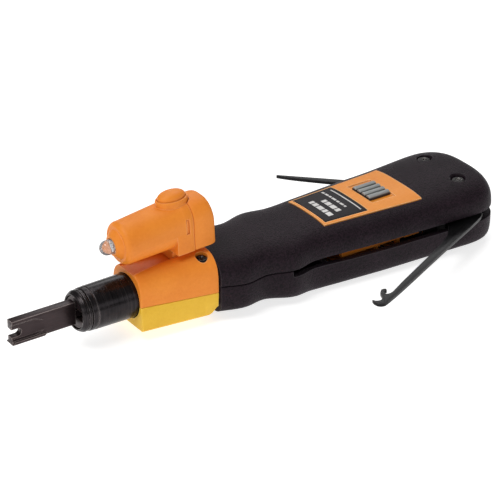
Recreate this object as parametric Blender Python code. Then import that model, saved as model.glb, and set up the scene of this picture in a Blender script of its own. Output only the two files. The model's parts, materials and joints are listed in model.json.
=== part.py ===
"""Impact punch down tool with a clip-on light and two fold-out tools.

Lengths in this file are in millimetres, in the tool's own frame: x runs along the tool
from the collar's front face towards the rear, z is up, and the barrel's axis is y = z = 0.
Meshes are written in metres, with the world origin at ORIGIN, the middle of the flat
underside that the tool rests on.
"""

import math

import bmesh
import bpy
from mathutils import Matrix, Vector

MM = 0.001
GAP = 0.3                      # clearance between neighbouring pieces
ORIGIN = Vector((112.0, 0.0, -14.5))

# Handle
HANDLE_FRONT = 30.4
HANDLE_REAR = 154.2
END_ROUND_START = 138.0        # where the plan outline starts to round towards the rear
END_EXPONENT = 3.0
END_PULL = 0.55                # share of each level's narrowing that the rear end takes too
HANDLE_TOP = 10.3
TOP_RISE = 1.0                 # the crown is this much higher at the rear
TOP_SLOPE = (112.0, 142.0)     # and rises between these x
FLOOR_FRONT, FLOOR_REAR = -11.6, -14.5
FLOOR_SLOPE = (44.0, 74.0)     # the underside steps down between these x
CROWN_EXPONENT = 3.2
FLOOR_EXPONENT = 6.0
WALL = 2.2
PART_LINE = 0.15               # each shell stops this far from z = 0
GRIP_OUTLINE = ((30.4, 14.4), (39.3, 17.5), (49.0, 16.3), (59.5, 19.3), (69.0, 17.4),
                (82.0, 18.4), (100.0, 20.0), (120.0, 21.0), (138.0, 22.0))
RIBS = ((43.0, 45.0), (74.0, 76.0))

# Slot for the fold-out tools
SLOT_FLOOR_FRONT, SLOT_FLOOR = -2.5, -3.2
SLOT_CORNER = 0.8
SLOT_DEEPENS = 26.0            # the floor reaches its full depth this far behind the front end
SLOT_FRONT_NEAR, SLOT_FRONT_FAR = 58.3, 78.0
TOOL_PLANE = -1.5
TOOL_THICKNESS = 1.3
PIVOT_X, PIVOT_Y = 140.0, 10.4
BOSS_RADIUS = 4.2
HOOK_REST_ANGLE, SPUDGER_REST_ANGLE = 204.65, 131.9   # both tools are swung part way out

# Barrel and mechanism
BARREL_RADIUS = 8.2
BARREL_FRONT = -21.7
SOCKET_STEP = -19.0            # the blade's socket widens in front of this, for the bayonet plate
RING_GROOVE = (-19.7, -18.1)
BLADE_FRONT, BLADE_REAR = -46.9, -7.0
BLADE_TOP, BLADE_BOTTOM = 4.8, -3.9
BLADE_HALF_THICK = 1.6
NECK = (-21.9, -18.9)          # the blade's narrow stretch, where the bayonet plate holds it
SLEEVE_RADIUS = 6.0
BARREL_STEP = 10.5             # the barrel's wide part ends here
BARREL_REAR = 36.0
TUBE_RADIUS, TUBE_BORE = 7.5, 6.7
TUBE_SPAN = (33.5, 96.0)
HAMMER_SPAN = (61.0, 82.0)
HAMMER_RADIUS = 6.3
SEAT_FRONT = 109.5
WEDGE_FACE = 117.8             # x of the slanted contact face on the axis
WEDGE_SLOPE = 0.6              # how far that face runs back per millimetre of y
WEDGE_BACK = 124.6
STOP_REAR = 128.8
STOP_ARM_TOP = -4.2
CRADLE_SIDE = -13.4            # y of the cradle's near wall, which the slot shows
WINDOW_TOP = -4.7              # the openings in that wall reach up to here
PINS = {"front": (101.3, -5.2), "rear": (121.5, -5.6)}   # x, z of the pins on that side

# Collar
COLLAR_REAR = 29.9
COLLAR_BORE = 8.45
SPLIT_HEIGHT = -1.15           # the line between the halves, at the front
SPLIT_DROP = 1.1               # and how far it falls towards the rear
LOWER_REAR_LIFT = 2.6          # how far the underside curves up at the rear
LOWER_REAR_CURVE = (25.5, 29.9)
COLLAR_BORE_END = 23.0
COLLAR_SCREW = (26.0, 8.2)
COLLAR_RECESS, COLLAR_SEAT = 2.25, 8.1

# Faceplate
PLATE_X = (77.3, 119.8)
PLATE_HALF = (11.3, 14.1)
LABEL_X = (78.7, 97.0)
LABEL_HALF = (10.4, 11.5)
LABEL_SHIFT = 0.45             # the label sits this far towards the far side
SELECTOR_X = (102.2, 111.7)
SELECTOR_HALF = 5.6
SELECTOR_TRAVEL = 2.0

# Light, in its own frame: u forward face to rear, v up
LIGHT_ORIGIN = Vector((-3.7, 0.0, 21.3))
LIGHT_TILT = math.radians(2.3)
LIGHT_RADIUS = 7.9
SKIN = 0.05                    # one shape sinks this far into another that it joins
LIGHT_SEAM = 27.0
LIGHT_REAR = 36.0
BLOCK_HALF, BLOCK_TOP, BLOCK_FOOT = 7.9, 9.3, -8.3
BLOCK_CORNER = 6.5
FOOT_FRONT = 20.2
FLARE = (2.4, 24.0)            # the round body widens into the block's shape between these u
NOSE = -2.1                    # the front face bulges forward to here around the LED
CELL_RADIUS = 5.75
CELL_LENGTH = 5.4
BUTTON_U = 23.2
BUTTON_BOTTOM = 9.7
BUTTON_TRAVEL = 0.8
BOSS_TOP = 10.9
OVERHANG = 7.3                 # the boss reaches over the cap from this height up

# name: (base colour, metallic, roughness)
MATERIALS = {
    "grip_plastic": ((0.060, 0.052, 0.066), 0.0, 0.62),
    "orange_plastic": ((0.80, 0.25, 0.045), 0.0, 0.45),
    "yellow_plastic": ((0.78, 0.48, 0.06), 0.0, 0.45),
    "selector_grey": ((0.30, 0.33, 0.33), 0.0, 0.50),
    "label_black": ((0.012, 0.011, 0.013), 0.0, 0.35),
    "black_oxide": ((0.030, 0.026, 0.027), 0.8, 0.34),
    "blade_steel": ((0.055, 0.045, 0.043), 0.8, 0.42),
    "tool_steel": ((0.10, 0.10, 0.105), 0.9, 0.38),
    "bright_steel": ((0.62, 0.62, 0.63), 1.0, 0.28),
    "spring_steel": ((0.35, 0.35, 0.36), 1.0, 0.32),
    "brass": ((0.72, 0.50, 0.20), 1.0, 0.30),
    "inner_black": ((0.03, 0.03, 0.03), 0.0, 0.60),
    "led_clear": ((0.92, 0.94, 0.97), 0.0, 0.08),
    "board_green": ((0.03, 0.16, 0.07), 0.0, 0.50),
}


# ---------------------------------------------------------------- scene helpers

def clear_scene():
    for old in list(bpy.data.objects):
        bpy.data.objects.remove(old, do_unlink=True)


def material(name):
    found = bpy.data.materials.get(name)
    if found:
        return found
    colour, metallic, roughness = MATERIALS[name]
    made = bpy.data.materials.new(name)
    made.use_nodes = True
    shader = made.node_tree.nodes["Principled BSDF"]
    shader.inputs["Base Color"].default_value = (*colour, 1.0)
    shader.inputs["Metallic"].default_value = metallic
    shader.inputs["Roughness"].default_value = roughness
    made.diffuse_color = (*colour, 1.0)
    return made


def add_body(name, pivot):
    """An empty on a moving body's joint axis."""
    empty = bpy.data.objects.new(name + "_axis", None)
    empty.empty_display_size = 0.005
    empty.location = (Vector(pivot) - ORIGIN) * MM
    bpy.context.collection.objects.link(empty)
    return {"empty": empty, "pivot": Vector(pivot)}


def solid(verts, faces):
    """A closed mesh, in millimetres, with its faces turned outwards."""
    mesh = bpy.data.meshes.new("solid")
    mesh.from_pydata([tuple(v) for v in verts], [], faces)
    work = bmesh.new()
    work.from_mesh(mesh)
    bmesh.ops.recalc_face_normals(work, faces=work.faces)
    if work.calc_volume(signed=True) < 0:
        bmesh.ops.reverse_faces(work, faces=work.faces)
    work.to_mesh(mesh)
    work.free()
    made = bpy.data.objects.new("solid", mesh)
    bpy.context.collection.objects.link(made)
    return made


def combine(target, tools, operation):
    """Boolean each tool into target, in order, and remove the tools."""
    for tool in tools:
        tool.hide_render = True
        tool.display_type = 'WIRE'
        step = target.modifiers.new("cut", 'BOOLEAN')
        step.operation = operation
        step.solver = 'EXACT'
        step.object = tool
        graph = bpy.context.evaluated_depsgraph_get()
        result = bpy.data.meshes.new_from_object(target.evaluated_get(graph))
        target.modifiers.clear()
        target.data = result
        bpy.data.objects.remove(tool, do_unlink=True)
    return target


def cut(target, *tools):
    return combine(target, tools, 'DIFFERENCE')


def join(target, *tools):
    return combine(target, tools, 'UNION')


def finish(part, name, finish_name, body=None, smooth=35.0):
    """Name a part, place its origin on its body's axis and give it its material."""
    pivot = body["pivot"] if body else ORIGIN
    part.data.transform(Matrix.Scale(MM, 4) @ Matrix.Translation(-pivot))
    part.name = name
    part.data.name = name
    if body:
        part.parent = body["empty"]
    part.data.materials.clear()
    part.data.materials.append(material(finish_name))
    part.data.shade_smooth()
    part.data.set_sharp_from_angle(angle=math.radians(smooth))
    return part


# ---------------------------------------------------------------- shape helpers

def arc(centre, radius, start, stop, steps):
    """Points of an arc; angles in degrees."""
    points = []
    for i in range(steps + 1):
        angle = math.radians(start + (stop - start) * i / steps)
        points.append((centre[0] + radius * math.cos(angle), centre[1] + radius * math.sin(angle)))
    return points


def prism(outline, axis, low, high):
    """Extrude a flat outline along x, y or z."""
    def place(point, depth):
        a, b = point
        return {"x": (depth, a, b), "y": (a, depth, b), "z": (a, b, depth)}[axis]
    count = len(outline)
    verts = [place(p, low) for p in outline] + [place(p, high) for p in outline]
    faces = [list(range(count)), list(range(2 * count - 1, count - 1, -1))]
    faces += [[i, (i + 1) % count, count + (i + 1) % count, count + i] for i in range(count)]
    return solid(verts, faces)


def box(low, high):
    outline = [(low[0], low[1]), (high[0], low[1]), (high[0], high[1]), (low[0], high[1])]
    return prism(outline, "z", low[2], high[2])


def cylinder(axis, centre, radius, low, high, steps=20):
    outline = arc(centre, radius, 0.0, 360.0, steps)[:-1]
    return prism(outline, axis, low, high)


def turned(profile, steps=20):
    """Turn a closed (x, radius) profile about the x axis; radius 0 lies on the axis."""
    verts, rows = [], []
    for x, radius in profile:
        if radius == 0:
            rows.append([len(verts)] * steps)
            verts.append((x, 0.0, 0.0))
            continue
        rows.append(list(range(len(verts), len(verts) + steps)))
        for k in range(steps):
            angle = 2 * math.pi * k / steps
            verts.append((x, radius * math.cos(angle), radius * math.sin(angle)))
    faces = []
    for row, after in zip(rows, rows[1:] + rows[:1]):
        for k in range(steps):
            n = (k + 1) % steps
            ring = list(dict.fromkeys([row[k], row[n], after[n], after[k]]))
            if len(ring) > 2:
                faces.append(ring)
    return solid(verts, faces)


def loft(rings):
    """Join rings of equal length, closing both ends."""
    count = len(rings[0])
    verts = [point for ring in rings for point in ring]
    last = (len(rings) - 1) * count
    faces = [list(range(count)), list(range(last + count - 1, last - 1, -1))]
    for r in range(len(rings) - 1):
        for i in range(count):
            n = (i + 1) % count
            faces.append([r * count + i, r * count + n, (r + 1) * count + n, (r + 1) * count + i])
    return solid(verts, faces)


def coil(span, mean_radius, wire, turns, per_turn=9, sides=5):
    """A round-wire compression spring along the x axis, with its outside inside span."""
    start, stop = span[0] + wire / 2, span[1] - wire / 2
    count = int(turns * per_turn)
    rings = []
    for i in range(count + 1):
        angle = 2 * math.pi * i / per_turn
        centre = Vector((start + (stop - start) * i / count,
                         mean_radius * math.cos(angle), mean_radius * math.sin(angle)))
        outward = Vector((0.0, math.cos(angle), math.sin(angle)))
        along = Vector(((stop - start) / (2 * math.pi * turns), -mean_radius * math.sin(angle),
                        mean_radius * math.cos(angle))).normalized()
        side = along.cross(outward)
        ring = []
        for k in range(sides):
            turn = 2 * math.pi * k / sides
            ring.append(centre + (outward * math.cos(turn) + side * math.sin(turn)) * wire / 2)
        rings.append(ring)
    return loft(rings)


def smooth_curve(points, x):
    """A cubic through the points with the slopes of their neighbours."""
    x = min(max(x, points[0][0]), points[-1][0])
    index = max(i for i in range(len(points) - 1) if points[i][0] <= x)

    def slope(i):
        low, high = points[max(i - 1, 0)], points[min(i + 1, len(points) - 1)]
        return (high[1] - low[1]) / (high[0] - low[0])

    (x0, y0), (x1, y1) = points[index], points[index + 1]
    width = x1 - x0
    t = (x - x0) / width
    return (y0 * (2 * t ** 3 - 3 * t ** 2 + 1) + y1 * (3 * t ** 2 - 2 * t ** 3)
            + width * slope(index) * (t ** 3 - 2 * t ** 2 + t)
            + width * slope(index + 1) * (t ** 3 - t ** 2))


# ---------------------------------------------------------------- handle shells

def half_width(x):
    """Half the handle's width where its two shells meet."""
    if x <= END_ROUND_START:
        return smooth_curve(GRIP_OUTLINE, x)
    t = min((x - END_ROUND_START) / (HANDLE_REAR - END_ROUND_START), 1.0)
    return GRIP_OUTLINE[-1][1] * (1.0 - t ** END_EXPONENT) ** (1.0 / END_EXPONENT)


def ramp(x, span):
    """0 before the span, 1 after it, and smooth between."""
    t = min(max((x - span[0]) / (span[1] - span[0]), 0.0), 1.0)
    return t * t * (3 - 2 * t)


def floor_height(x):
    return FLOOR_FRONT + (FLOOR_REAR - FLOOR_FRONT) * ramp(x, FLOOR_SLOPE)


def top_height(x):
    return HANDLE_TOP + TOP_RISE * ramp(x, TOP_SLOPE)


def crown_height(x, y, inset=0.0):
    """Height of the top shell's outer surface above the barrel's axis."""
    ratio = min(abs(y) / (half_width(x) - inset), 1.0)
    return (top_height(x) - inset) * (1.0 - ratio ** CROWN_EXPONENT) ** (1.0 / CROWN_EXPONENT)


def plan_outline(start, stop, inset):
    """Plan outline from start to stop: along the near side, then back along the far side."""
    stations = []
    straight_end = min(stop, END_ROUND_START)
    pitch, corners = (4.8, 9) if inset == 0 else (8.0, 6)
    steps = max(int((straight_end - start) / pitch), 2)
    for i in range(steps + 1):
        stations.append(start + (straight_end - start) * i / steps)
    near = [(x, half_width(x) - inset) for x in stations]
    if stop > END_ROUND_START:
        length = stop - END_ROUND_START
        width = GRIP_OUTLINE[-1][1] - inset
        for i in range(1, corners):
            angle = math.pi / 2 * i / corners
            near.append((END_ROUND_START + length * math.sin(angle) ** (2 / END_EXPONENT),
                         width * math.cos(angle) ** (2 / END_EXPONENT)))
    return [(x, -y) for x, y in near] + [(x, y) for x, y in reversed(near)]


def handle_block(levels, start, stop, inset, height):
    """Stack the plan outline at each level (width factor, height factor)."""
    outline = plan_outline(start, stop, inset)
    count = len(outline)
    verts = []
    for width, rise in levels:
        for x, y in outline:
            if x > END_ROUND_START:
                x = END_ROUND_START + (x - END_ROUND_START) * (1.0 - (1.0 - width) * END_PULL)
            verts.append((x, y * width, height(x) * rise))
    faces = []
    for level in range(len(levels) - 1):
        base = level * count
        for i in range(count):
            n = (i + 1) % count
            faces.append([base + i, base + n, base + count + n, base + count + i])
    for base in (0, (len(levels) - 1) * count):
        for i in range(count // 2 - 1):
            faces.append([base + i, base + i + 1, base + count - 2 - i, base + count - 1 - i])
    return solid(verts, faces)


def rounded_levels(angles, exponent, start):
    """Superellipse levels from the parting plane up to the last angle."""
    levels = [(1.0, start)]
    last = math.sin(math.radians(angles[-1])) ** (2 / exponent)
    for angle in angles:
        a = math.radians(angle)
        levels.append((math.cos(a) ** (2 / exponent), math.sin(a) ** (2 / exponent) / last))
    return levels


def crown_levels():
    return rounded_levels((8, 18, 30, 42, 54, 66, 76, 84), CROWN_EXPONENT, PART_LINE / HANDLE_TOP)


def floor_levels():
    return rounded_levels((4, 12, 24, 38, 54, 70, 84), FLOOR_EXPONENT, PART_LINE / -FLOOR_REAR)


def cavity_levels(exponent):
    return rounded_levels((12, 32, 56, 80), exponent, -0.1)


def cavities(side):
    """Cutters that hollow a shell between its front wall, its ribs and its rear wall."""
    walls = [HANDLE_FRONT + WALL] + [edge for rib in RIBS for edge in rib] + [HANDLE_REAR - WALL]
    found = []
    for start, stop in zip(walls[::2], walls[1::2]):
        if side == "top":
            found.append(handle_block(cavity_levels(CROWN_EXPONENT), start, stop, WALL,
                                      lambda x: top_height(x) - WALL))
        else:
            found.append(handle_block(cavity_levels(FLOOR_EXPONENT), start, stop, WALL,
                                      lambda x: floor_height(x) + WALL))
    return found


def pivots():
    return (("near", -PIVOT_Y), ("far", PIVOT_Y))


def make_top_shell():
    shell = handle_block(crown_levels(), HANDLE_FRONT, HANDLE_REAR, 0.0, top_height)
    cut(shell, *cavities("top"))
    ceiling = HANDLE_TOP + TOP_RISE - WALL + 0.4
    join(shell, *[cylinder("z", (PIVOT_X, y), BOSS_RADIUS, 0.5, ceiling, 24) for _, y in pivots()])
    for _, y in pivots():
        cut(shell, cylinder("z", (PIVOT_X, y), 2.0, -1.0, 12.0, 16),
            cylinder("z", (PIVOT_X, y), 2.75, 8.3, 13.0, 20))
    cut(shell, cylinder("x", (0, 0), SLEEVE_RADIUS + GAP, 29.0, 34.0, 24),
        cylinder("x", (0, 0), TUBE_RADIUS + GAP, 42.0, 77.0, 24),
        crown_patch((PLATE_X[0] - GAP, PLATE_X[1] + GAP), (PLATE_HALF[0] + GAP, PLATE_HALF[1] + GAP),
                    -1.4, 4.0),
        selector_window(5.0, 12.0))
    finish(shell, "handle_top_shell", "grip_plastic", smooth=40.0)


def make_bottom_shell():
    shell = handle_block(floor_levels(), HANDLE_FRONT, HANDLE_REAR, 0.0, floor_height)
    cut(shell, *cavities("bottom"))
    cut(shell, cylinder("x", (0, 0), SLEEVE_RADIUS + GAP, 29.0, 34.0, 24),
        cylinder("x", (0, 0), TUBE_RADIUS + GAP, 42.0, 77.0, 24))
    for front, low, high in ((SLOT_FRONT_NEAR, -30.0, 0.0), (SLOT_FRONT_FAR, -0.01, 30.0)):
        profile = [(160.0, 2.0), (front, 2.0)]
        profile += arc((front + SLOT_CORNER, SLOT_FLOOR_FRONT + SLOT_CORNER), SLOT_CORNER, 180.0, 270.0, 4)
        profile += [(front + SLOT_DEEPENS, SLOT_FLOOR), (160.0, SLOT_FLOOR)]
        cut(shell, prism(profile, "y", low, high))
    for _, y in pivots():
        join(shell, cylinder("z", (PIVOT_X, y), BOSS_RADIUS, FLOOR_REAR + WALL - 0.4,
                             SLOT_FLOOR - 0.1, 24))
        cut(shell, cylinder("z", (PIVOT_X, y), 2.0, -11.6, 0.0, 16))
    finish(shell, "handle_bottom_shell", "grip_plastic", smooth=40.0)


# ---------------------------------------------------------------- faceplate and selector

def crown_patch(span, half, low, high, columns=6, rows=8, shift=0.0):
    """A slab that follows the crowned top, from low to high measured off its surface."""
    verts = []
    for offset in (low, high):
        for i in range(columns + 1):
            x = span[0] + (span[1] - span[0]) * i / columns
            reach = half[0] + (half[1] - half[0]) * i / columns
            for j in range(rows + 1):
                y = shift + reach * (2.0 * j / rows - 1.0)
                verts.append((x, y, crown_height(x, y) + offset))
    row = rows + 1
    sheet = (columns + 1) * row
    faces = []
    for base in (0, sheet):
        for i in range(columns):
            for j in range(rows):
                a = base + i * row + j
                faces.append([a, a + 1, a + row + 1, a + row])
    border = [i * row for i in range(columns + 1)]
    border += [columns * row + j for j in range(1, row)]
    border += [i * row + rows for i in range(columns - 1, -1, -1)]
    border += list(range(rows - 1, 0, -1))
    for a, b in zip(border, border[1:] + border[:1]):
        faces.append([a, b, b + sheet, a + sheet])
    return solid(verts, faces)


def selector_window(low, high):
    middle = sum(SELECTOR_X) / 2
    reach = 1.6 + SELECTOR_TRAVEL + GAP
    return box((middle - 1.5 - GAP, -reach, low), (middle + 1.5 + GAP, reach, high))


def make_faceplate():
    plate = crown_patch(PLATE_X, PLATE_HALF, -1.1, 0.3)
    pocket = crown_patch((LABEL_X[0] - 0.2, LABEL_X[1] + 0.2), [half + GAP for half in LABEL_HALF],
                         -0.5, 3.0, 4, shift=LABEL_SHIFT)
    tray_reach = SELECTOR_HALF + SELECTOR_TRAVEL + GAP
    tray = box((SELECTOR_X[0] - 0.6, -tray_reach, 9.9), (SELECTOR_X[1] + 0.5, tray_reach, 13.0))
    cut(plate, pocket, tray, selector_window(5.0, 12.0))
    finish(plate, "faceplate", "orange_plastic")
    label = crown_patch(LABEL_X, LABEL_HALF, -0.2, 0.35, 4, shift=LABEL_SHIFT)
    finish(label, "label_panel", "label_black")


def make_selector(body):
    """Ridged thumb piece with a stem, keyed into a wedge behind the spring seat."""
    middle = sum(SELECTOR_X) / 2
    profile = [(-SELECTOR_HALF, 10.2), (-SELECTOR_HALF, 11.0)]
    pitch = 2 * SELECTOR_HALF / 4
    for k in range(4):
        left = -SELECTOR_HALF + pitch * k
        if k:
            profile += [(left + 0.35, 10.75)]
        profile += [(left + 0.75, 11.5), (left + pitch - 0.55, 11.5)]
        if k < 3:
            profile += [(left + pitch - 0.15, 10.75)]
    profile += [(SELECTOR_HALF, 11.0), (SELECTOR_HALF, 10.2)]
    thumb = prism(profile, "x", *SELECTOR_X)
    join(thumb, box((middle - 1.5, -1.6, 6.0), (middle + 1.5, 1.6, 10.5)))
    finish(thumb, "selector_slide", "selector_grey", body)

    def face(y):
        return WEDGE_FACE + WEDGE_SLOPE * y + GAP
    wedge = prism([(face(-6.0), -6.0), (WEDGE_BACK, -6.0), (WEDGE_BACK, 6.0), (face(6.0), 6.0)],
                  "z", -4.5, 7.3)
    join(wedge, box((middle - 3.0, -3.5, 6.1), (WEDGE_BACK - 1.0, 3.5, 7.3)))
    cut(wedge, box((middle - 1.8, -1.9, 5.0), (middle + 1.8, 1.9, 8.5)))
    finish(wedge, "selector_wedge", "bright_steel", body)


# ---------------------------------------------------------------- collar

def collar_outline(x, part):
    """Cross-section of one collar half; it widens towards the handle."""
    sections = {
        "upper": (((9.3, 0.15), (9.3, 3.0), (8.9, 5.5), (8.0, 7.6), (6.5, 9.2), (4.8, 10.1), (3.0, 10.5)),
                  ((13.6, 0.15), (13.4, 4.2), (12.8, 6.9), (11.8, 8.9), (10.3, 10.6), (8.4, 11.7),
                   (5.8, 12.2))),
        "lower": (((9.4, -0.15), (9.9, -5.0), (10.3, -9.8), (9.6, -10.6)),
                  ((13.6, -0.15), (13.5, -5.0), (13.3, -10.2), (12.6, -11.0))),
    }
    front, rear = sections[part]
    t = x / COLLAR_REAR
    half = [(a + (c - a) * t, b + (d - b) * t) for (a, b), (c, d) in zip(front, rear)]
    half[0] = (half[0][0], half[0][1] + SPLIT_HEIGHT - SPLIT_DROP * t)
    if part == "lower":
        lift = LOWER_REAR_LIFT * ramp(x, LOWER_REAR_CURVE) ** 2
        half[2:] = [(y, z + lift) for y, z in half[2:]]
    return [(x, -y, z) for y, z in half] + [(x, y, z) for y, z in reversed(half)]


def make_collar():
    foot_top = 11.0
    for part, name, colour in (("upper", "collar_upper", "orange_plastic"),
                               ("lower", "collar_lower", "yellow_plastic")):
        stations = (0.0, 5.0, 10.0, 15.0, 20.0, 25.5, 27.0, 28.2, 29.2, COLLAR_REAR)
        shape = loft([collar_outline(x, part) for x in stations])
        cut(shape, cylinder("x", (0, 0), COLLAR_BORE, -1.0, COLLAR_BORE_END, 32),
            cylinder("x", (0, 0), SLEEVE_RADIUS + GAP, 20.0, 31.0, 24))
        for side in (-1, 1):
            spot = (COLLAR_SCREW[0], side * COLLAR_SCREW[1])
            if part == "upper":
                cut(shape, cylinder("z", spot, 1.1, -5.0, 14.0, 14),
                    cylinder("z", spot, COLLAR_RECESS, COLLAR_SEAT, 14.0, 20))
            else:
                cut(shape, cylinder("z", spot, 1.1, -8.2, 1.0, 14))
        if part == "upper":
            channel = [(-4.95, 9.8), (4.95, 9.8), (3.95, foot_top), (3.95, 14.0),
                       (-3.95, 14.0), (-3.95, foot_top)]
            cut(shape, prism(channel, "x", -1.0, 28.6))
        finish(shape, name, colour)
    for side, label in ((-1, "near"), (1, "far")):
        spot = (COLLAR_SCREW[0], side * COLLAR_SCREW[1])
        make_screw("collar_screw_" + label, spot, 1.95, 0.8, (-7.9, COLLAR_SEAT + GAP, 10.9),
                   "black_oxide")


def make_screw(name, spot, head, shank, heights, finish_name, body=None):
    """Pan head screw with a cross recess; heights are tip, underside and top of the head."""
    tip, under, top = heights
    screw = cylinder("z", spot, shank, tip, under + 0.2, 12)
    join(screw, cylinder("z", spot, head, under, top, 20))
    for wide, tall in ((0.28, 0.68), (0.68, 0.28)):
        reach = (head * wide, head * tall)
        cut(screw, box((spot[0] - reach[0], spot[1] - reach[1], top - 0.8),
                       (spot[0] + reach[0], spot[1] + reach[1], top + 1.0)))
    finish(screw, name, finish_name, body)


# ---------------------------------------------------------------- barrel, blade, mechanism

def make_barrel(body):
    """A sleeve with the blade's socket in front, a ring groove and a screw-on rear plug."""
    groove_front, groove_rear = RING_GROOVE
    profile = [(4.0, 0), (4.0, 2.3), (-6.6, 2.3), (-6.6, 5.4), (SOCKET_STEP, 5.4), (SOCKET_STEP, 6.1),
               (BARREL_FRONT, 6.1), (BARREL_FRONT, 6.7), (BARREL_FRONT + 1.4, 7.6), (groove_front, 7.7),
               (groove_front, 7.0), (groove_rear, 7.0), (groove_rear, 7.8), (-2.0, BARREL_RADIUS),
               (BARREL_STEP, BARREL_RADIUS), (BARREL_STEP, SLEEVE_RADIUS), (33.0, SLEEVE_RADIUS),
               (33.0, 6.4), (BARREL_REAR, 6.4), (BARREL_REAR, 2.2), (26.0, 2.2), (26.0, 0)]
    finish(turned(profile, 24), "barrel", "black_oxide", body)

    opening = 14.0
    outer = arc((0, 0), 7.6, -90 + opening, 270 - opening, 26)
    inner = arc((0, 0), 7.2, 270 - opening, -90 + opening, 26)
    finish(prism(outer + inner, "x", RING_GROOVE[0] + 0.25, RING_GROOVE[1] - 0.25),
           "retaining_ring", "bright_steel", body)

    plate = cylinder("x", (0, 0), 5.8, BARREL_FRONT + 0.4, SOCKET_STEP - 0.5, 24)
    cut(plate, box((-25.0, -5.1, -1.95), (-15.0, 5.1, 1.95)))
    finish(plate, "bayonet_plate", "bright_steel", body)

    ball = turned([(-6.1 + 1.6 * (1 - math.cos(math.pi * i / 6)), 1.6 * math.sin(math.pi * i / 6))
                   if 0 < i < 6 else (-6.1 + 3.2 * i / 6, 0) for i in range(7)], 12)
    finish(ball, "detent_ball", "bright_steel", body)
    finish(coil((-2.5, 3.6), 1.6, 0.5, 3, 8, 4), "detent_spring", "spring_steel", body)

    rod = turned([(26.3, 0), (26.3, 1.9), (BARREL_REAR + GAP, 1.9), (BARREL_REAR + GAP, 2.8),
                  (58.0, 2.8), (59.0, 1.6), (65.0, 1.6), (65.0, 0)], 16)
    finish(rod, "plunger_rod", "bright_steel", body)
    finish(coil((BARREL_REAR + GAP, 56.4), 4.9, 1.1, 6), "return_spring", "spring_steel", body)


def make_blade(body):
    """Flat cutting blade: notched tip, recessed face, necked shank for the quarter-turn lock."""
    neck_front, neck_rear = NECK
    neck, nose = 1.3, 1.5
    notch = arc((BLADE_FRONT + 2.4, 0.0), nose, 90.0, -90.0, 8)
    outline = [(BLADE_FRONT, BLADE_TOP), (BLADE_FRONT, nose)] + notch
    outline += [(BLADE_FRONT, -nose), (BLADE_FRONT, BLADE_BOTTOM),
                (neck_front, BLADE_BOTTOM), (neck_front, -neck), (neck_rear, -neck),
                (neck_rear, BLADE_BOTTOM),
                (BLADE_REAR - 1.5, BLADE_BOTTOM), (BLADE_REAR, BLADE_BOTTOM + 1.4),
                (BLADE_REAR, BLADE_TOP - 1.4), (BLADE_REAR - 1.5, BLADE_TOP),
                (neck_rear, BLADE_TOP), (neck_rear, neck), (neck_front, neck), (neck_front, BLADE_TOP)]
    blade = prism(outline, "y", -BLADE_HALF_THICK, BLADE_HALF_THICK)
    recess = [(-50.0, -1.05), (-37.0, -1.05), (-34.6, -1.7), (-34.6, -3.0), (-50.0, -3.0)]
    cut(blade, box((neck_front, -3.0, -3.0), (neck_rear, -1.2, 3.0)),
        box((neck_front, 1.2, -3.0), (neck_rear, 3.0, 3.0)),
        prism(recess, "z", BLADE_BOTTOM + 1.2, BLADE_TOP - 1.5))
    edge = prism([(-33.5, BLADE_BOTTOM + 0.9), (-46.0, BLADE_BOTTOM + 0.9), (-47.2, BLADE_BOTTOM - 0.1),
                  (-34.5, BLADE_BOTTOM - 0.1)], "y", -2.3, 2.3)
    join(blade, edge)
    finish(blade, "blade", "blade_steel", body, 25.0)


def make_mechanism(hammer_body, latch_body, seat_body):
    tube = turned([(TUBE_SPAN[0], TUBE_BORE), (TUBE_SPAN[0], TUBE_RADIUS), (TUBE_SPAN[1], TUBE_RADIUS),
                   (TUBE_SPAN[1], TUBE_BORE), (58.2, TUBE_BORE), (58.2, 3.3), (56.7, 3.3),
                   (56.7, TUBE_BORE)])
    finish(tube, "guide_tube", "bright_steel")

    front, rear = HAMMER_SPAN
    hammer = turned([(front, 3.2), (front, HAMMER_RADIUS - 0.6), (front + 0.6, HAMMER_RADIUS),
                     (rear - 0.6, HAMMER_RADIUS), (rear, HAMMER_RADIUS - 0.6), (rear, 3.5),
                     (rear + 3.5, 3.2), (rear + 3.5, 0), (front + 13.0, 0), (front + 13.0, 3.2)])
    cut(hammer, box((65.0, -2.9, -8.0), (69.6, 2.9, 8.0)))
    finish(hammer, "hammer", "tool_steel", hammer_body)

    latch = box((65.3, -2.6, -5.6), (69.3, 2.6, 4.6))
    cut(latch, cylinder("x", (0.0, -1.2), 1.9, 64.0, 71.0, 14))
    finish(latch, "impact_latch", "bright_steel", latch_body)

    spring = coil((rear + GAP, SEAT_FRONT - GAP), 4.65, 1.3, 8)
    finish(spring, "hammer_spring", "spring_steel", hammer_body)

    seat = turned([(SEAT_FRONT - 3.0, 0), (SEAT_FRONT - 3.0, 3.2), (SEAT_FRONT, 3.5),
                   (SEAT_FRONT, 5.6), (WEDGE_FACE + 4.0, 5.6), (WEDGE_FACE + 4.0, 0)], 24)
    beyond = WEDGE_FACE + 20.0
    cut(seat, prism([(WEDGE_FACE - WEDGE_SLOPE * 8, -8.0), (beyond, -8.0), (beyond, 8.0),
                     (WEDGE_FACE + WEDGE_SLOPE * 8, 8.0)], "z", -8.0, 8.0))
    finish(seat, "spring_seat", "brass", seat_body)

    foot = FLOOR_REAR + WALL + GAP
    stop = box((WEDGE_BACK + GAP, -7.0, foot), (STOP_REAR, 7.0, 7.2))
    join(stop, box((WEDGE_BACK + GAP, CRADLE_SIDE + 1.0, foot), (STOP_REAR, -6.0, STOP_ARM_TOP)),
         box((120.0, CRADLE_SIDE, -9.0), (STOP_REAR - 0.5, CRADLE_SIDE + 1.8, STOP_ARM_TOP - 0.2)))
    cut(stop, cylinder("y", PINS["rear"], 0.9, -14.0, -11.0, 12))
    finish(stop, "rear_stop", "inner_black")


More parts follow.
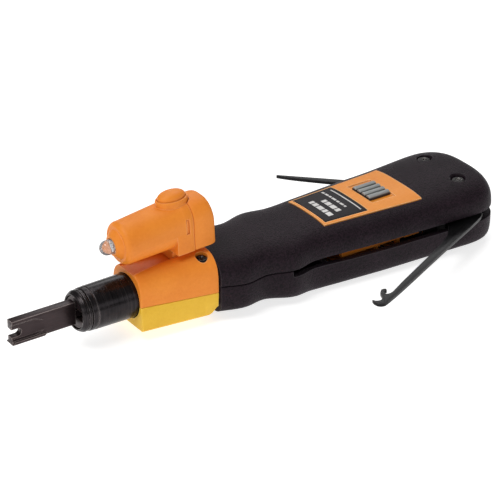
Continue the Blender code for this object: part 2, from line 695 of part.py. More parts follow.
def make_cradle():
    """Moulded tray under the mechanism; its near wall shows through the side slot."""
    floor = FLOOR_REAR + WALL + 1.3
    tray = box((84.0, CRADLE_SIDE, floor), (111.5, 8.7, 3.0))
    cut(tray, box((80.0, CRADLE_SIDE + 1.8, floor + 2.0), (120.0, 7.9, 5.0)),
        cylinder("y", PINS["front"], 0.9, -14.0, -11.0, 12))
    join(tray, box((111.0, CRADLE_SIDE, WINDOW_TOP - 0.4), (119.6, CRADLE_SIDE + 1.8, 3.0)))
    for start, stop in ((83.0, PINS["front"][0] - 1.2), (PINS["front"][0] + 1.2, 113.0)):
        cut(tray, box((start, CRADLE_SIDE - 1.0, floor + 2.3), (stop, CRADLE_SIDE + 2.5, WINDOW_TOP)))
    join(tray, box((110.2, CRADLE_SIDE + 1.0, floor + 1.0), (111.5, CRADLE_SIDE + 3.0, WINDOW_TOP + 1.0)))
    finish(tray, "mechanism_cradle", "orange_plastic")
    for label, spot in PINS.items():
        pin = cylinder("y", spot, 0.6, -13.8, -11.2, 12)
        join(pin, cylinder("y", spot, 1.1, -14.4, -13.7, 12))
        finish(pin, "cradle_pin_" + label, "bright_steel")


# ---------------------------------------------------------------- fold-out tools

def make_pivots():
    for label, y in pivots():
        spot = (PIVOT_X, y)
        make_screw("pivot_screw_" + label, spot, 2.4, 1.6, (-11.0, 8.6, 10.4), "bright_steel")
        bush = cylinder("z", spot, 3.1, SLOT_FLOOR + 0.2, 0.2, 24)
        cut(bush, cylinder("z", spot, 2.0, -5.0, 2.0, 20))
        finish(bush, "pivot_bush_" + label, "brass")
        washer = cylinder("z", spot, 4.5, -0.5, 0.2, 24)
        cut(washer, cylinder("z", spot, 3.4, -2.0, 2.0, 24))
        finish(washer, "pivot_washer_" + label, "spring_steel")


def plate_tool(name, outline, pivot, angle, body):
    """A flat tool cut from an outline drawn with its pivot at (0, 0) and its tip along +x."""
    turn = Matrix.Rotation(math.radians(angle), 2)
    spots = [turn @ Vector(p) for p in outline]
    low = TOOL_PLANE - TOOL_THICKNESS / 2
    shape = prism([(pivot[0] + p.x, pivot[1] + p.y) for p in spots], "z", low, low + TOOL_THICKNESS)
    cut(shape, cylinder("z", pivot, 3.35, -6.0, 3.0, 24))
    finish(shape, name, "tool_steel", body, 30.0)


def make_fold_out_tools(hook_body, spudger_body):
    """The hook's blade is offset away from the handle, the spudger's towards it."""
    hook = arc((0, 0), 5.0, 250.0, 120.0, 8)
    hook += [(0.5, 9.5), (4.0, 11.9), (36.0, 12.1), (66.0, 12.5), (77.7, 12.3)]
    hook += arc((78.9, 9.7), 2.5, 75.0, 0.0, 4)
    hook += [(81.0, 8.2), (80.0, 6.9), (79.9, 8.2), (79.2, 9.2), (78.2, 9.6), (77.0, 9.4)]
    hook += [(75.7, 8.4), (74.2, 7.0)]
    hook += arc((72.0, 7.7), 1.5, 300.0, 190.0, 5)
    hook += [(71.2, 8.1), (72.2, 7.6), (73.3, 8.0), (73.6, 9.1), (72.8, 9.9), (71.0, 10.3)]
    hook += [(62.0, 9.8), (43.0, 9.2), (30.0, 8.6), (22.0, 7.2), (14.0, 3.2), (8.0, -1.5), (3.5, -4.2)]
    plate_tool("hook_tool", hook, (PIVOT_X, -PIVOT_Y), HOOK_REST_ANGLE, hook_body)

    spudger = arc((0, 0), 5.0, 105.0, 290.0, 10)
    spudger += [(8.0, -1.6), (20.0, 2.2), (31.0, 2.6), (50.0, 4.0), (56.5, 4.5), (56.9, 4.9)]
    spudger += [(56.3, 5.3), (48.0, 5.8), (31.0, 5.5), (24.0, 5.0), (18.0, 4.7), (8.0, 4.4)]
    plate_tool("spudger", spudger, (PIVOT_X, PIVOT_Y), SPUDGER_REST_ANGLE, spudger_body)


# ---------------------------------------------------------------- light

def tilt(part):
    """Move a shape drawn in the light's own frame (u, y, v) into the tool's frame."""
    turn = Matrix.Rotation(-LIGHT_TILT, 4, 'Y')
    part.data.transform(Matrix.Translation(LIGHT_ORIGIN) @ turn)
    return part


def block_outline():
    """Cross-section of the light's square rear part."""
    half = [(BLOCK_HALF, BLOCK_FOOT)]
    half += arc((BLOCK_HALF - BLOCK_CORNER, BLOCK_TOP - BLOCK_CORNER), BLOCK_CORNER, 0.0, 90.0, 5)
    return [(-y, v) for y, v in half] + [(y, v) for y, v in reversed(half)]


def flare():
    """The top of the round body, widening into the block's."""
    rings = []
    for i in range(5):
        share = i / 4
        u = FLARE[0] + (FLARE[1] - FLARE[0]) * share
        square = block_outline()[1:-1]
        square = square[:len(square) // 2]
        ring = []
        for k, (y, v) in enumerate(square):
            angle = math.radians(8.0 + 76.0 * k / (len(square) - 1))
            round_y = -(LIGHT_RADIUS - SKIN) * math.cos(angle)
            round_v = (LIGHT_RADIUS - SKIN) * math.sin(angle)
            ring.append((round_y + (y - round_y) * share, round_v + (v - round_v) * share))
        ring = [(ring[0][0], -1.0)] + ring
        ring = ring + [(-y, v) for y, v in reversed(ring)]
        rings.append([(u, y, v) for y, v in ring])
    return loft(rings)


def oval(length, width, steps=20):
    return [(BUTTON_U + length / 2 * math.cos(2 * math.pi * i / steps),
             width / 2 * math.sin(2 * math.pi * i / steps)) for i in range(steps)]


def make_light(light_body, button_body, cap_body):
    shape = turned([(NOSE, 0), (NOSE, 3.6), (NOSE + 2.0, 5.4), (0.1, 5.6), (0.1, 5.9), (0.5, 7.1),
                    (1.2, 7.7), (2.2, LIGHT_RADIUS), (25.0, LIGHT_RADIUS), (25.0, 0)], 28)
    join(shape, prism(block_outline(), "x", FLARE[1] - SKIN, LIGHT_SEAM), flare(),
         box((FOOT_FRONT, -BLOCK_HALF, BLOCK_FOOT), (FLARE[1] + 1.0, BLOCK_HALF, -0.5)),
         prism(boss_outline(0.0), "z", 5.0, BOSS_TOP))
    cut(shape, box((LIGHT_SEAM, -10.0, -12.0), (40.0, 10.0, OVERHANG)),
        cylinder("x", (0, 0), CELL_RADIUS + GAP, 3.6, 30.0, 28),
        cylinder("x", (0, 0), 2.95, NOSE - 1.0, 5.0, 20),
        prism(button_pocket(GAP), "z", BUTTON_BOTTOM - BUTTON_TRAVEL - GAP, 14.0),
        box((BUTTON_U - 2.8, -3.1, 4.0), (BUTTON_U + 2.8, 3.1, 9.5)),
        box((23.9, -9.0, -1.2), (25.7, -7.3, 4.8)))
    tilt(shape)
    tail = [(-4.65, 10.1), (4.65, 10.1), (3.65, 11.2), (3.65, 13.3), (-3.65, 13.3), (-3.65, 11.2)]
    join(shape, prism(tail, "x", 17.0, 28.2), box((17.0, -3.6, 13.0), (22.4, 3.6, 14.8)))
    finish(shape, "light_body", "orange_plastic", light_body)

    dome = [(-6.6 + 2.7 * (1 - math.cos(math.radians(a))), 2.7 * math.sin(math.radians(a)))
            for a in (30, 60, 90)]
    led = turned([(-6.6, 0)] + dome + [(2.9, 2.7), (4.0, 2.7), (4.0, 0)], 20)
    finish(tilt(led), "led", "led_clear", light_body)

    board = cylinder("x", (0, 0), 5.7, 5.0, 6.2, 24)
    finish(tilt(board), "light_board", "board_green", light_body)
    start = 8.0
    for label in ("front", "middle", "rear"):
        stop = start + CELL_LENGTH
        cell = turned([(start, 0), (start, 5.2), (start + 0.4, CELL_RADIUS), (stop - 1.0, CELL_RADIUS),
                       (stop - 1.0, 5.3), (stop, 5.3), (stop, 0)], 24)
        finish(tilt(cell), "button_cell_" + label, "bright_steel", light_body)
        start = stop + GAP
    switch = box((BUTTON_U - 2.4, -2.7, 6.2), (BUTTON_U + 2.4, 2.7, 8.6))
    finish(tilt(switch), "light_switch", "inner_black", light_body)

    rings = []
    for scale, height in ((1.0, BUTTON_BOTTOM), (1.0, 11.7), (0.93, 12.4), (0.74, 12.9), (0.42, 13.2)):
        rings.append([(BUTTON_U + (u - BUTTON_U) * scale, y * scale, height)
                      for u, y in button_pocket(0.0)])
    finish(tilt(loft(rings)), "light_button", "orange_plastic", button_body, 50.0)

    rings = []
    for u, shrink, drop in ((LIGHT_SEAM + GAP, 0.0, 0.0), (32.4, 0.0, 0.0), (34.2, 0.15, 0.7),
                            (35.3, 0.4, 1.9), (LIGHT_REAR, 0.9, 3.4)):
        rings.append([(u, math.copysign(abs(y) - shrink, y), v + (shrink if v < 0 else -drop))
                      for y, v in block_outline()])
    cap = loft(rings)
    cut(cap, cylinder("x", (0, 0), CELL_RADIUS + GAP, 26.0, 33.0, 28),
        prism(boss_outline(GAP), "z", OVERHANG - GAP, 14.0))
    finish(tilt(cap), "light_cap", "orange_plastic", cap_body)
    contact = coil((start, 32.6), 3.4, 0.7, 3, 8, 4)
    finish(tilt(contact), "contact_spring", "spring_steel", cap_body)


def button_pocket(margin):
    return oval(10.8 + 2 * margin, 6.9 + 2 * margin)


def boss_outline(margin):
    return oval(12.6 + 2 * margin, 8.7 + 2 * margin)


# ---------------------------------------------------------------- assembly

def main():
    clear_scene()
    barrel = add_body("barrel", (0, 0, 0))
    blade = add_body("blade", (-24, 0, 0))
    hammer = add_body("hammer", (HAMMER_SPAN[0], 0, 0))
    latch = add_body("latch", (67.3, 0, 0))
    seat = add_body("seat", (SEAT_FRONT, 0, 0))
    selector = add_body("selector", (sum(SELECTOR_X) / 2, 0, HANDLE_TOP))
    hook = add_body("hook", (PIVOT_X, -PIVOT_Y, TOOL_PLANE))
    spudger = add_body("spudger", (PIVOT_X, PIVOT_Y, TOOL_PLANE))
    light = add_body("light", LIGHT_ORIGIN)
    along = Vector((math.cos(LIGHT_TILT), 0, math.sin(LIGHT_TILT)))
    up = Vector((-math.sin(LIGHT_TILT), 0, math.cos(LIGHT_TILT)))
    button = add_body("button", LIGHT_ORIGIN + along * BUTTON_U + up * 10)
    cap = add_body("cap", LIGHT_ORIGIN + along * LIGHT_SEAM)

    make_top_shell()
    make_bottom_shell()
    make_faceplate()
    make_selector(selector)
    make_collar()
    make_barrel(barrel)
    make_blade(blade)
    make_mechanism(hammer, latch, seat)
    make_cradle()
    make_pivots()
    make_fold_out_tools(hook, spudger)
    make_light(light, button, cap)


main()
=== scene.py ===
"""Looks for the punch down tool: finer shapes, procedural materials, light and camera.

Shapes are drawn in millimetres in the tool's own frame (x from the collar's front face
towards the rear, z up, barrel axis at y = z = 0) and moved into the CAD frame by place().
"""

import json
import math

import bmesh
import bpy
from mathutils import Matrix, Vector


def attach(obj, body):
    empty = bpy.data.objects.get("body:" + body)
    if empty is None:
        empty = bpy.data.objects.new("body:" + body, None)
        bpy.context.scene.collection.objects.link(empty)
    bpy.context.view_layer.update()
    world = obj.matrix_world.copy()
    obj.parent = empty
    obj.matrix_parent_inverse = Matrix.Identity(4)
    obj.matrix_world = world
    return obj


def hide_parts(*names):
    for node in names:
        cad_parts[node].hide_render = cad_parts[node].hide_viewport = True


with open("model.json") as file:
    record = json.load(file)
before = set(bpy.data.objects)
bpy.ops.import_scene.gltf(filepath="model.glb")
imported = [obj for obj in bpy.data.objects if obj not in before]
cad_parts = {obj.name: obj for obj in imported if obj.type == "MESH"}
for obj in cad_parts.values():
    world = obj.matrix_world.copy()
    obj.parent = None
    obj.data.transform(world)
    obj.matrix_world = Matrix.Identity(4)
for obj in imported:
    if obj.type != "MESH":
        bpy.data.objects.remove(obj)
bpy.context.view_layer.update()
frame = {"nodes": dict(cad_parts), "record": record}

MM = 0.001
ORIGIN = Vector((112.0, 0.0, -14.5))    # the CAD frame's origin, in the tool's own frame
GAP = 0.3                      # clearance between neighbouring pieces
CAD_SHARP_ANGLE = 32.0         # degrees between faces that stay sharp when shaded
WEAR_HIGHLIGHT_RADIUS, WEAR_HIGHLIGHT_TURN = 0.0005, 0.06    # edges tighter than this radius (m) get paler: wear, and a painted highlight on the faceplate, tools and screws

# Handle; the top and floor heights are for the middle of the grip
HANDLE_FRONT, HANDLE_REAR = 30.4, 154.2
END_ROUND_START, END_EXPONENT, END_PULL = 138.0, 3.0, 0.55
HANDLE_TOP, TOP_RISE, TOP_SLOPE = 10.3, 1.0, (112.0, 142.0)
FLOOR_FRONT, FLOOR_REAR, FLOOR_SLOPE = -11.6, -14.5, (44.0, 74.0)
CROWN_EXPONENT, FLOOR_EXPONENT = 3.2, 6.0
WALL = 2.2
PART_LINE = 0.15
EDGE = 0.45                    # radius worn onto the shells' meeting edges
GRIP_OUTLINE = ((30.4, 14.4), (39.3, 17.5), (49.0, 16.3), (59.5, 19.3), (69.0, 17.4),
                (82.0, 18.4), (100.0, 20.0), (120.0, 21.0), (138.0, 22.0))    # (x, half width)
RIBS = ((43.0, 45.0), (74.0, 76.0))
SLOT_FLOOR_FRONT, SLOT_FLOOR, SLOT_CORNER, SLOT_DEEPENS = -2.5, -3.2, 0.8, 26.0
SLOT_FRONTS = ((58.3, -30.0, 0.0), (78.0, -0.01, 30.0))    # front end, then y from and to
SLOT_OPEN_REAR, SLOT_OPEN_TOP = 160.0, 2.0    # where the slot's cutter ends, outside the shell
TOOL_PLANE, TOOL_THICKNESS = -1.5, 1.3
PIVOT_X, PIVOT_Y = 140.0, 10.4
PIVOT_HOLE, BOSS_RADIUS = 2.0, 4.2
PIVOT_SCREW_HEAD, PIVOT_SCREW_HEIGHTS, PIVOT_SCREW_TIP, PIVOT_SHANK = 2.4, (8.6, 10.4), -11.0, 1.6
TOOL_EYE, TOOL_ROOT = 3.35, 5.0
PIVOT_RECESS = [(8.3, 0), (8.3, 2.75), (10.2, 2.75), (10.6, 2.9), (11.2, 3.5), (13.0, 5.0), (13.0, 0)]
SLEEVE_BORE, SLEEVE_BORE_SPAN = 6.3, (29.0, 34.0)
TUBE_HOLE, TUBE_HOLE_SPAN = 7.8, (42.0, 77.0)

# Faceplate; its half widths are at its front and rear
PLATE_X, PLATE_HALF = (77.3, 119.8), (11.3, 14.1)
LABEL_X, LABEL_HALF, LABEL_SHIFT = (78.7, 97.0), (10.4, 11.5), 0.45
LABEL_RULE = (94.9, 95.4, 0.0, 9.4)    # x from and to, middle and half length across
LABEL_ROWS = ((82.0, 2.2, (2.6, 1.7, 2.9, 2.1, 1.5)),    # x, width, length of each mark
              (86.4, 2.2, (1.8, 2.7, 2.3, 1.6)),
              (91.0, 0.9, (1.1, 2.0, 1.5, 2.4, 1.2, 1.9, 1.6)))
LABEL_ROW_START, LABEL_ROW_INDENT, LABEL_MARK_GAP = -7.6, 1.2, 0.55
MARK_HEIGHTS = (0.24, 0.36)
PATCH_CELLS = 40
SELECTOR_X, SELECTOR_HALF, SELECTOR_TRAVEL = (102.2, 111.7), 5.6, 2.0
SELECTOR_RIDGES, RIDGE_HALF, RIDGE_RISE = 4, 1.02, 0.55
SELECTOR_BASE, SELECTOR_EDGE, GROOVE_FLOOR, RIDGE_CENTRE = 10.05, 10.5, 10.35, 11.05
GROOVE_SHADE_HEIGHTS = (10.75, 11.15)    # painted shade: the grooves are darkened below the first height and left unshaded above the second
STEM_HALF, STEM_WINDOW_HALF = (1.5, 1.6), 1.8

# Collar
COLLAR_REAR, COLLAR_BORE, COLLAR_BORE_END = 29.9, 8.45, 23.0
COLLAR_SCREW, COLLAR_RECESS, COLLAR_SEAT = (26.0, 8.2), 2.25, 8.1
COLLAR_SCREW_HEAD, COLLAR_SCREW_TOP, COLLAR_SCREW_TIP = 2.12, 10.9, -7.9
COLLAR_SCREW_SHANK, COLLAR_SCREW_HOLE = 0.8, 1.1
COLLAR_STATIONS = [1.25 * i for i in range(20)] + [25.5, 26.5, 27.4, 28.2, 28.9, 29.5, COLLAR_REAR]
SPLIT_HEIGHT, SPLIT_DROP = -1.15, 1.1
SPLIT_LINE = 0.03              # half the line that shows between the collar's halves
LOWER_REAR_LIFT, LOWER_REAR_CURVE = 2.6, (25.5, 29.9)
COLLAR_SECTIONS = {            # front and rear section of each half, as (half width, height)
    "upper": (((9.3, SPLIT_LINE), (9.3, 3.0), (8.9, 5.5), (8.0, 7.6), (6.5, 9.2), (4.8, 10.1),
               (3.0, 10.5)),
              ((13.6, SPLIT_LINE), (13.4, 4.2), (12.8, 6.9), (11.8, 8.9), (10.3, 10.6),
               (8.4, 11.7), (5.8, 12.2))),
    "lower": (((9.4, -SPLIT_LINE), (9.9, -5.0), (10.3, -9.8), (9.6, -10.6)),
              ((13.6, -SPLIT_LINE), (13.5, -5.0), (13.3, -10.2), (12.6, -11.0))),
}
CHANNEL = [(-4.95, 9.8), (4.95, 9.8), (3.95, 11.0), (3.95, 14.0), (-3.95, 14.0), (-3.95, 11.0)]
CHANNEL_END = 28.6

# Barrel and blade
BARREL_FRONT, BARREL_STEP, BARREL_RADIUS = -21.7, 10.5, 8.2
SOCKET_STEP = -19.0
RING_GROOVE, RING_OPENING = (-19.7, -18.1), 14.0
BLADE_FRONT, BLADE_REAR = -46.9, -7.0
BLADE_TOP, BLADE_BOTTOM = 4.8, -3.9
BLADE_HALF_THICK = 1.6
NECK = (-21.9, -18.9)
NECK_HALF, NECK_HALF_THICK, NOTCH_RADIUS = 1.3, 1.2, 1.5
SCOOP_START, SCOOP_LENGTH, SCOOP_STEPS, SCOOP_RUNOUT = -50.0, 16.4, 16, (-38.5, -33.6)

# Light, in its own frame: u from the round body's front to the rear, v up
LIGHT_ORIGIN = Vector((-3.7, 0.0, 21.3))
LIGHT_TILT = math.radians(2.3)
LIGHT_RADIUS = 7.9
LIGHT_SEAM, LIGHT_REAR = 27.0, 36.0
BLOCK_HALF, BLOCK_TOP, BLOCK_FOOT, BLOCK_CORNER = 7.9, 9.3, -8.3, 6.5
FOOT_FRONT, FLARE, NOSE = 20.2, (2.4, 24.0), -2.1
CELL_RADIUS = 5.75
BUTTON_U, BUTTON_BOTTOM, BUTTON_TRAVEL = 23.2, 9.7, 0.8
BOSS_TOP, OVERHANG = 10.9, 7.3
FLARE_STEPS, FLARE_INSET = 24, 0.03
TAIL = [(-4.65, 10.1), (4.65, 10.1), (3.65, 11.2), (3.65, 13.3), (-3.65, 13.3), (-3.65, 11.2)]
TAIL_SPAN = (17.0, 28.2)
LED_FRONT, LED_RADIUS, LED_FLANGE, LED_BACK = -6.6, 2.7, 2.9, 4.0
CAP_CURVE_START = 32.4

# Stage and camera, in metres in the CAD frame
FLOOR_REACH, FLOOR_DROP, FLOOR_GLOW = 6.0, 0.0002, 0.74
LAMP_TARGET = Vector((0.0, 0.0, 0.01))
CAMERA_LENS, CAMERA_SENSOR = 167.95, 36.0
CAMERA_SPOT = Vector((-0.47879, -0.61507, 0.41750))
CAMERA_RIGHT = Vector((0.8262, -0.5634, -0.0006))
CAMERA_BACK = Vector((-0.4958, -0.7275, 0.4742))


# ---------------------------------------------------------------- materials

def shader_of(name, roughness, metallic=0.0):
    made = bpy.data.materials.new(name)
    made.use_nodes = True
    tree = made.node_tree
    shader = tree.nodes["Principled BSDF"]
    shader.inputs["Roughness"].default_value = roughness
    shader.inputs["Metallic"].default_value = metallic
    return made, tree, shader


def coords(tree, scale=(1.0, 1.0, 1.0)):
    place_node = tree.nodes.new("ShaderNodeMapping")
    source = tree.nodes.new("ShaderNodeTexCoord")
    place_node.inputs["Scale"].default_value = scale
    tree.links.new(source.outputs["Object"], place_node.inputs["Vector"])
    return place_node.outputs["Vector"]


def noise(tree, vector, scale, detail=3.0, roughness=0.55):
    node = tree.nodes.new("ShaderNodeTexNoise")
    node.inputs["Scale"].default_value = scale
    node.inputs["Detail"].default_value = detail
    node.inputs["Roughness"].default_value = roughness
    tree.links.new(vector, node.inputs["Vector"])
    return node.outputs["Fac"]


def remap(tree, value, low, high, to_low, to_high):
    node = tree.nodes.new("ShaderNodeMapRange")
    node.inputs["From Min"].default_value = low
    node.inputs["From Max"].default_value = high
    node.inputs["To Min"].default_value = to_low
    node.inputs["To Max"].default_value = to_high
    tree.links.new(value, node.inputs["Value"])
    return node.outputs["Result"]


def math_node(tree, operation, a, b):
    node = tree.nodes.new("ShaderNodeMath")
    node.operation = operation
    for socket, value in zip(node.inputs, (a, b)):
        if isinstance(value, (int, float)):
            socket.default_value = value
        else:
            tree.links.new(value, socket)
    return node.outputs["Value"]


def blend_colours(tree, factor, dark, light):
    node = tree.nodes.new("ShaderNodeMix")
    node.data_type = 'RGBA'
    tree.links.new(factor, node.inputs["Factor"])
    for socket, colour in zip((node.inputs[6], node.inputs[7]), (dark, light)):
        if isinstance(colour, tuple):
            socket.default_value = (*colour, 1.0)
        else:
            tree.links.new(colour, socket)
    return node.outputs[2]


def edges(tree):
    """1 on edges sharper than the wear-and-highlight radius, from how far the surface turns within it; it
    carries the edges' wear colour and painted edge highlights.
    """
    turned_normal = tree.nodes.new("ShaderNodeBevel")
    turned_normal.samples = 6
    turned_normal.inputs["Radius"].default_value = WEAR_HIGHLIGHT_RADIUS
    surface = tree.nodes.new("ShaderNodeNewGeometry")
    agree = tree.nodes.new("ShaderNodeVectorMath")
    agree.operation = 'DOT_PRODUCT'
    tree.links.new(turned_normal.outputs["Normal"], agree.inputs[0])
    tree.links.new(surface.outputs["Normal"], agree.inputs[1])
    return remap(tree, agree.outputs["Value"], 1.0 - WEAR_HIGHLIGHT_TURN / 6, 1.0 - WEAR_HIGHLIGHT_TURN, 0.0, 1.0)


def bump(tree, shader, height, distance):
    node = tree.nodes.new("ShaderNodeBump")
    node.inputs["Distance"].default_value = distance
    tree.links.new(height, node.inputs["Height"])
    tree.links.new(node.outputs["Normal"], shader.inputs["Normal"])


def moulded(name, dark, light, roughness, grain, depth, edge_wear_and_highlight=None, gloss=0.30):
    """Moulded plastic: mottled colour, a fine surface grain and paler edges: wear, and on the faceplate a
    painted highlight.
    """
    made, tree, shader = shader_of(name, roughness)
    shader.inputs["Specular IOR Level"].default_value = gloss
    spot = coords(tree)
    mottle = math_node(tree, 'ADD', math_node(tree, 'MULTIPLY', noise(tree, spot, 70.0, 4.0), 0.7),
                       math_node(tree, 'MULTIPLY', noise(tree, spot, 900.0, 2.0), 0.3))
    colour = blend_colours(tree, remap(tree, mottle, 0.35, 0.65, 0.0, 1.0), dark, light)
    if edge_wear_and_highlight:
        colour = blend_colours(tree, edges(tree), colour, edge_wear_and_highlight)
    tree.links.new(colour, shader.inputs["Base Color"])
    fine = noise(tree, spot, grain, 3.0, 0.6)
    tree.links.new(remap(tree, fine, 0.3, 0.7, roughness - 0.07, roughness + 0.08),
                   shader.inputs["Roughness"])
    bump(tree, shader, fine, depth)
    return made


def grip_material():
    """Charcoal spark-eroded plastic: a satin skin with a fine, shallow pebble grain."""
    made, tree, shader = shader_of("grip_grain", 0.55)
    spot = coords(tree)
    pebbles = noise(tree, spot, 1500.0, 3.0, 0.65)
    fine = noise(tree, spot, 4200.0, 2.0)
    patches = noise(tree, spot, 45.0, 4.0)
    height = math_node(tree, 'ADD', pebbles, math_node(tree, 'MULTIPLY', fine, 0.4))
    tint = blend_colours(tree, remap(tree, patches, 0.3, 0.7, 0.0, 1.0),
                         (0.0130, 0.0062, 0.0105), (0.0235, 0.0130, 0.0195))
    tint = blend_colours(tree, remap(tree, pebbles, 0.58, 0.38, 0.0, 0.85), tint, (0.003, 0.002, 0.003))
    tint = blend_colours(tree, edges(tree), tint, (0.040, 0.034, 0.040))
    tree.links.new(tint, shader.inputs["Base Color"])
    tree.links.new(remap(tree, fine, 0.3, 0.7, 0.46, 0.60), shader.inputs["Roughness"])
    shader.inputs["Specular IOR Level"].default_value = 0.12
    shader.inputs["Sheen Weight"].default_value = 0.06
    shader.inputs["Sheen Roughness"].default_value = 0.35
    shader.inputs["Sheen Tint"].default_value = (0.90, 0.82, 0.92, 1.0)
    bump(tree, shader, height, 0.00024)
    return made


def metal(name, dark, light, roughness, streak, metallic=1.0, depth=0.00002, edge_wear_and_highlight=None):
    """Metal with fine lines across the streak scale and cloudy tarnish."""
    made, tree, shader = shader_of(name, roughness, metallic)
    lines = noise(tree, coords(tree, streak), 1.0, 4.0, 0.7)
    cloud = noise(tree, coords(tree), 160.0, 4.0)
    shade = math_node(tree, 'ADD', math_node(tree, 'MULTIPLY', lines, 0.6),
                      math_node(tree, 'MULTIPLY', cloud, 0.4))
    colour = blend_colours(tree, remap(tree, shade, 0.35, 0.65, 0.0, 1.0), dark, light)
    # paler edges: wear, and on the steel tools and screws a painted highlight
    if edge_wear_and_highlight:
        colour = blend_colours(tree, edges(tree), colour, edge_wear_and_highlight)
    tree.links.new(colour, shader.inputs["Base Color"])
    tree.links.new(remap(tree, shade, 0.3, 0.7, roughness - 0.08, roughness + 0.1),
                   shader.inputs["Roughness"])
    bump(tree, shader, lines, depth)
    return made


def ridged_material():
    """Grey plastic with painted shade that darkens its grooves, by height."""
    made = moulded("selector_moulding", (0.25, 0.265, 0.262), (0.34, 0.355, 0.35), 0.50, 2200.0, 0.00008,
                   (0.50, 0.52, 0.52))
    tree = made.node_tree
    shader = tree.nodes["Principled BSDF"]
    unshaded_colour = shader.inputs["Base Color"].links[0].from_socket
    split = tree.nodes.new("ShaderNodeSeparateXYZ")
    tree.links.new(coords(tree), split.inputs["Vector"])
    groove, ridge = ((height - ORIGIN.z) * MM for height in GROOVE_SHADE_HEIGHTS)
    # painted shade: the colour turns dark below the ridges' tops
    colour = blend_colours(tree, remap(tree, split.outputs["Z"], groove, ridge, 0.0, 1.0),
                           (0.035, 0.030, 0.028), unshaded_colour)
    tree.links.new(colour, shader.inputs["Base Color"])
    return made


def clear_material():
    """Clear epoxy, faintly cloudy, with a weak painted glow."""
    made, tree, shader = shader_of("led_epoxy", 0.08)
    cloud = noise(tree, coords(tree), 500.0, 2.0)
    tree.links.new(blend_colours(tree, cloud, (0.90, 0.92, 0.95), (1.0, 1.0, 1.0)),
                   shader.inputs["Base Color"])
    tree.links.new(remap(tree, cloud, 0.3, 0.7, 0.03, 0.10), shader.inputs["Roughness"])
    shader.inputs["Transmission Weight"].default_value = 0.96
    # painted glow: a weak emission brightens the epoxy
    shader.inputs["Emission Color"].default_value = (1.0, 0.96, 0.98, 1.0)
    shader.inputs["Emission Strength"].default_value = 0.04
    shader.inputs["IOR"].default_value = 1.5
    return made


GRIP = grip_material()
ORANGE = moulded("orange_moulding", (0.80, 0.225, 0.018), (0.88, 0.28, 0.028), 0.48, 1500.0, 0.00006,
                 (0.90, 0.36, 0.10))
# its pale edge colour is a painted highlight along the plate's rim
PLATE_ORANGE = moulded("faceplate_moulding", (0.80, 0.26, 0.028), (0.88, 0.32, 0.045), 0.46, 1700.0,
                       0.00008, (0.98, 0.62, 0.30))
YELLOW = moulded("yellow_moulding", (0.80, 0.46, 0.024), (0.88, 0.54, 0.040), 0.46, 1500.0, 0.00006,
                 (0.90, 0.62, 0.14))
GREY = ridged_material()
LABEL = moulded("label_film", (0.009, 0.007, 0.009), (0.016, 0.013, 0.016), 0.45, 3000.0, 0.00002,
                gloss=0.12)
WHITE_INK = moulded("label_ink", (0.62, 0.61, 0.60), (0.78, 0.77, 0.76), 0.55, 3000.0, 0.00002)
BLACK_PLASTIC = moulded("inner_moulding", (0.012, 0.011, 0.012), (0.022, 0.020, 0.021), 0.55, 1800.0,
                        0.00006)
BOARD = moulded("circuit_board", (0.02, 0.12, 0.05), (0.04, 0.20, 0.09), 0.45, 1200.0, 0.00004)
BARREL = metal("black_oxide_turned", (0.008, 0.007, 0.008), (0.040, 0.034, 0.036), 0.24,
               (2200.0, 60.0, 60.0), 0.85, 0.00004, (0.16, 0.14, 0.14))
# its pale edge colour is a painted glint on the screw heads' rims
SCREW_BLACK = metal("black_oxide_screw", (0.005, 0.004, 0.005), (0.014, 0.012, 0.013), 0.38,
                    (1500.0, 1500.0, 1500.0), 0.85, 0.00002, (0.16, 0.15, 0.14))
BLADE = metal("blade_ground", (0.022, 0.014, 0.015), (0.050, 0.034, 0.036), 0.34,
              (250.0, 900.0, 6000.0), 0.75, 0.00003, (0.24, 0.20, 0.19))
# its pale edge colour is a painted highlight along the tools' edges
TOOL = metal("stamped_steel", (0.006, 0.006, 0.007), (0.018, 0.018, 0.019), 0.36,
             (500.0, 500.0, 4000.0), 0.85, 0.00002, (0.065, 0.062, 0.062))
STEEL = metal("plated_steel", (0.50, 0.50, 0.51), (0.72, 0.72, 0.73), 0.25, (1800.0, 1800.0, 1800.0))
WIRE = metal("spring_wire", (0.25, 0.25, 0.26), (0.42, 0.42, 0.43), 0.30, (2500.0, 400.0, 400.0))
BRASS = metal("turned_brass", (0.60, 0.40, 0.14), (0.80, 0.58, 0.26), 0.28, (400.0, 400.0, 6000.0))
CLEAR = clear_material()

SLOT_LOOKS = {
    "grip_plastic": GRIP, "orange_plastic": ORANGE, "yellow_plastic": YELLOW, "selector_grey": GREY,
    "label_black": LABEL, "black_oxide": BARREL, "blade_steel": BLADE, "tool_steel": TOOL,
    "bright_steel": STEEL, "spring_steel": WIRE, "brass": BRASS, "inner_black": BLACK_PLASTIC,
    "led_clear": CLEAR, "board_green": BOARD,
}
node_slot = {row["node"]: row["material_slot"] for row in frame["record"]["subparts"]}
for node_name, node in frame["nodes"].items():
    node.data.materials.clear()
    node.data.materials.append(SLOT_LOOKS[node_slot[node_name]])
    node.data.shade_smooth()
    node.data.set_sharp_from_angle(angle=math.radians(CAD_SHARP_ANGLE))


# ---------------------------------------------------------------- shape helpers

def solid(verts, faces):
    mesh = bpy.data.meshes.new("solid")
    mesh.from_pydata([tuple(v) for v in verts], [], faces)
    work = bmesh.new()
    work.from_mesh(mesh)
    bmesh.ops.recalc_face_normals(work, faces=work.faces)
    if work.calc_volume(signed=True) < 0:
        bmesh.ops.reverse_faces(work, faces=work.faces)
    work.to_mesh(mesh)
    work.free()
    made = bpy.data.objects.new("solid", mesh)
    bpy.context.collection.objects.link(made)
    return made


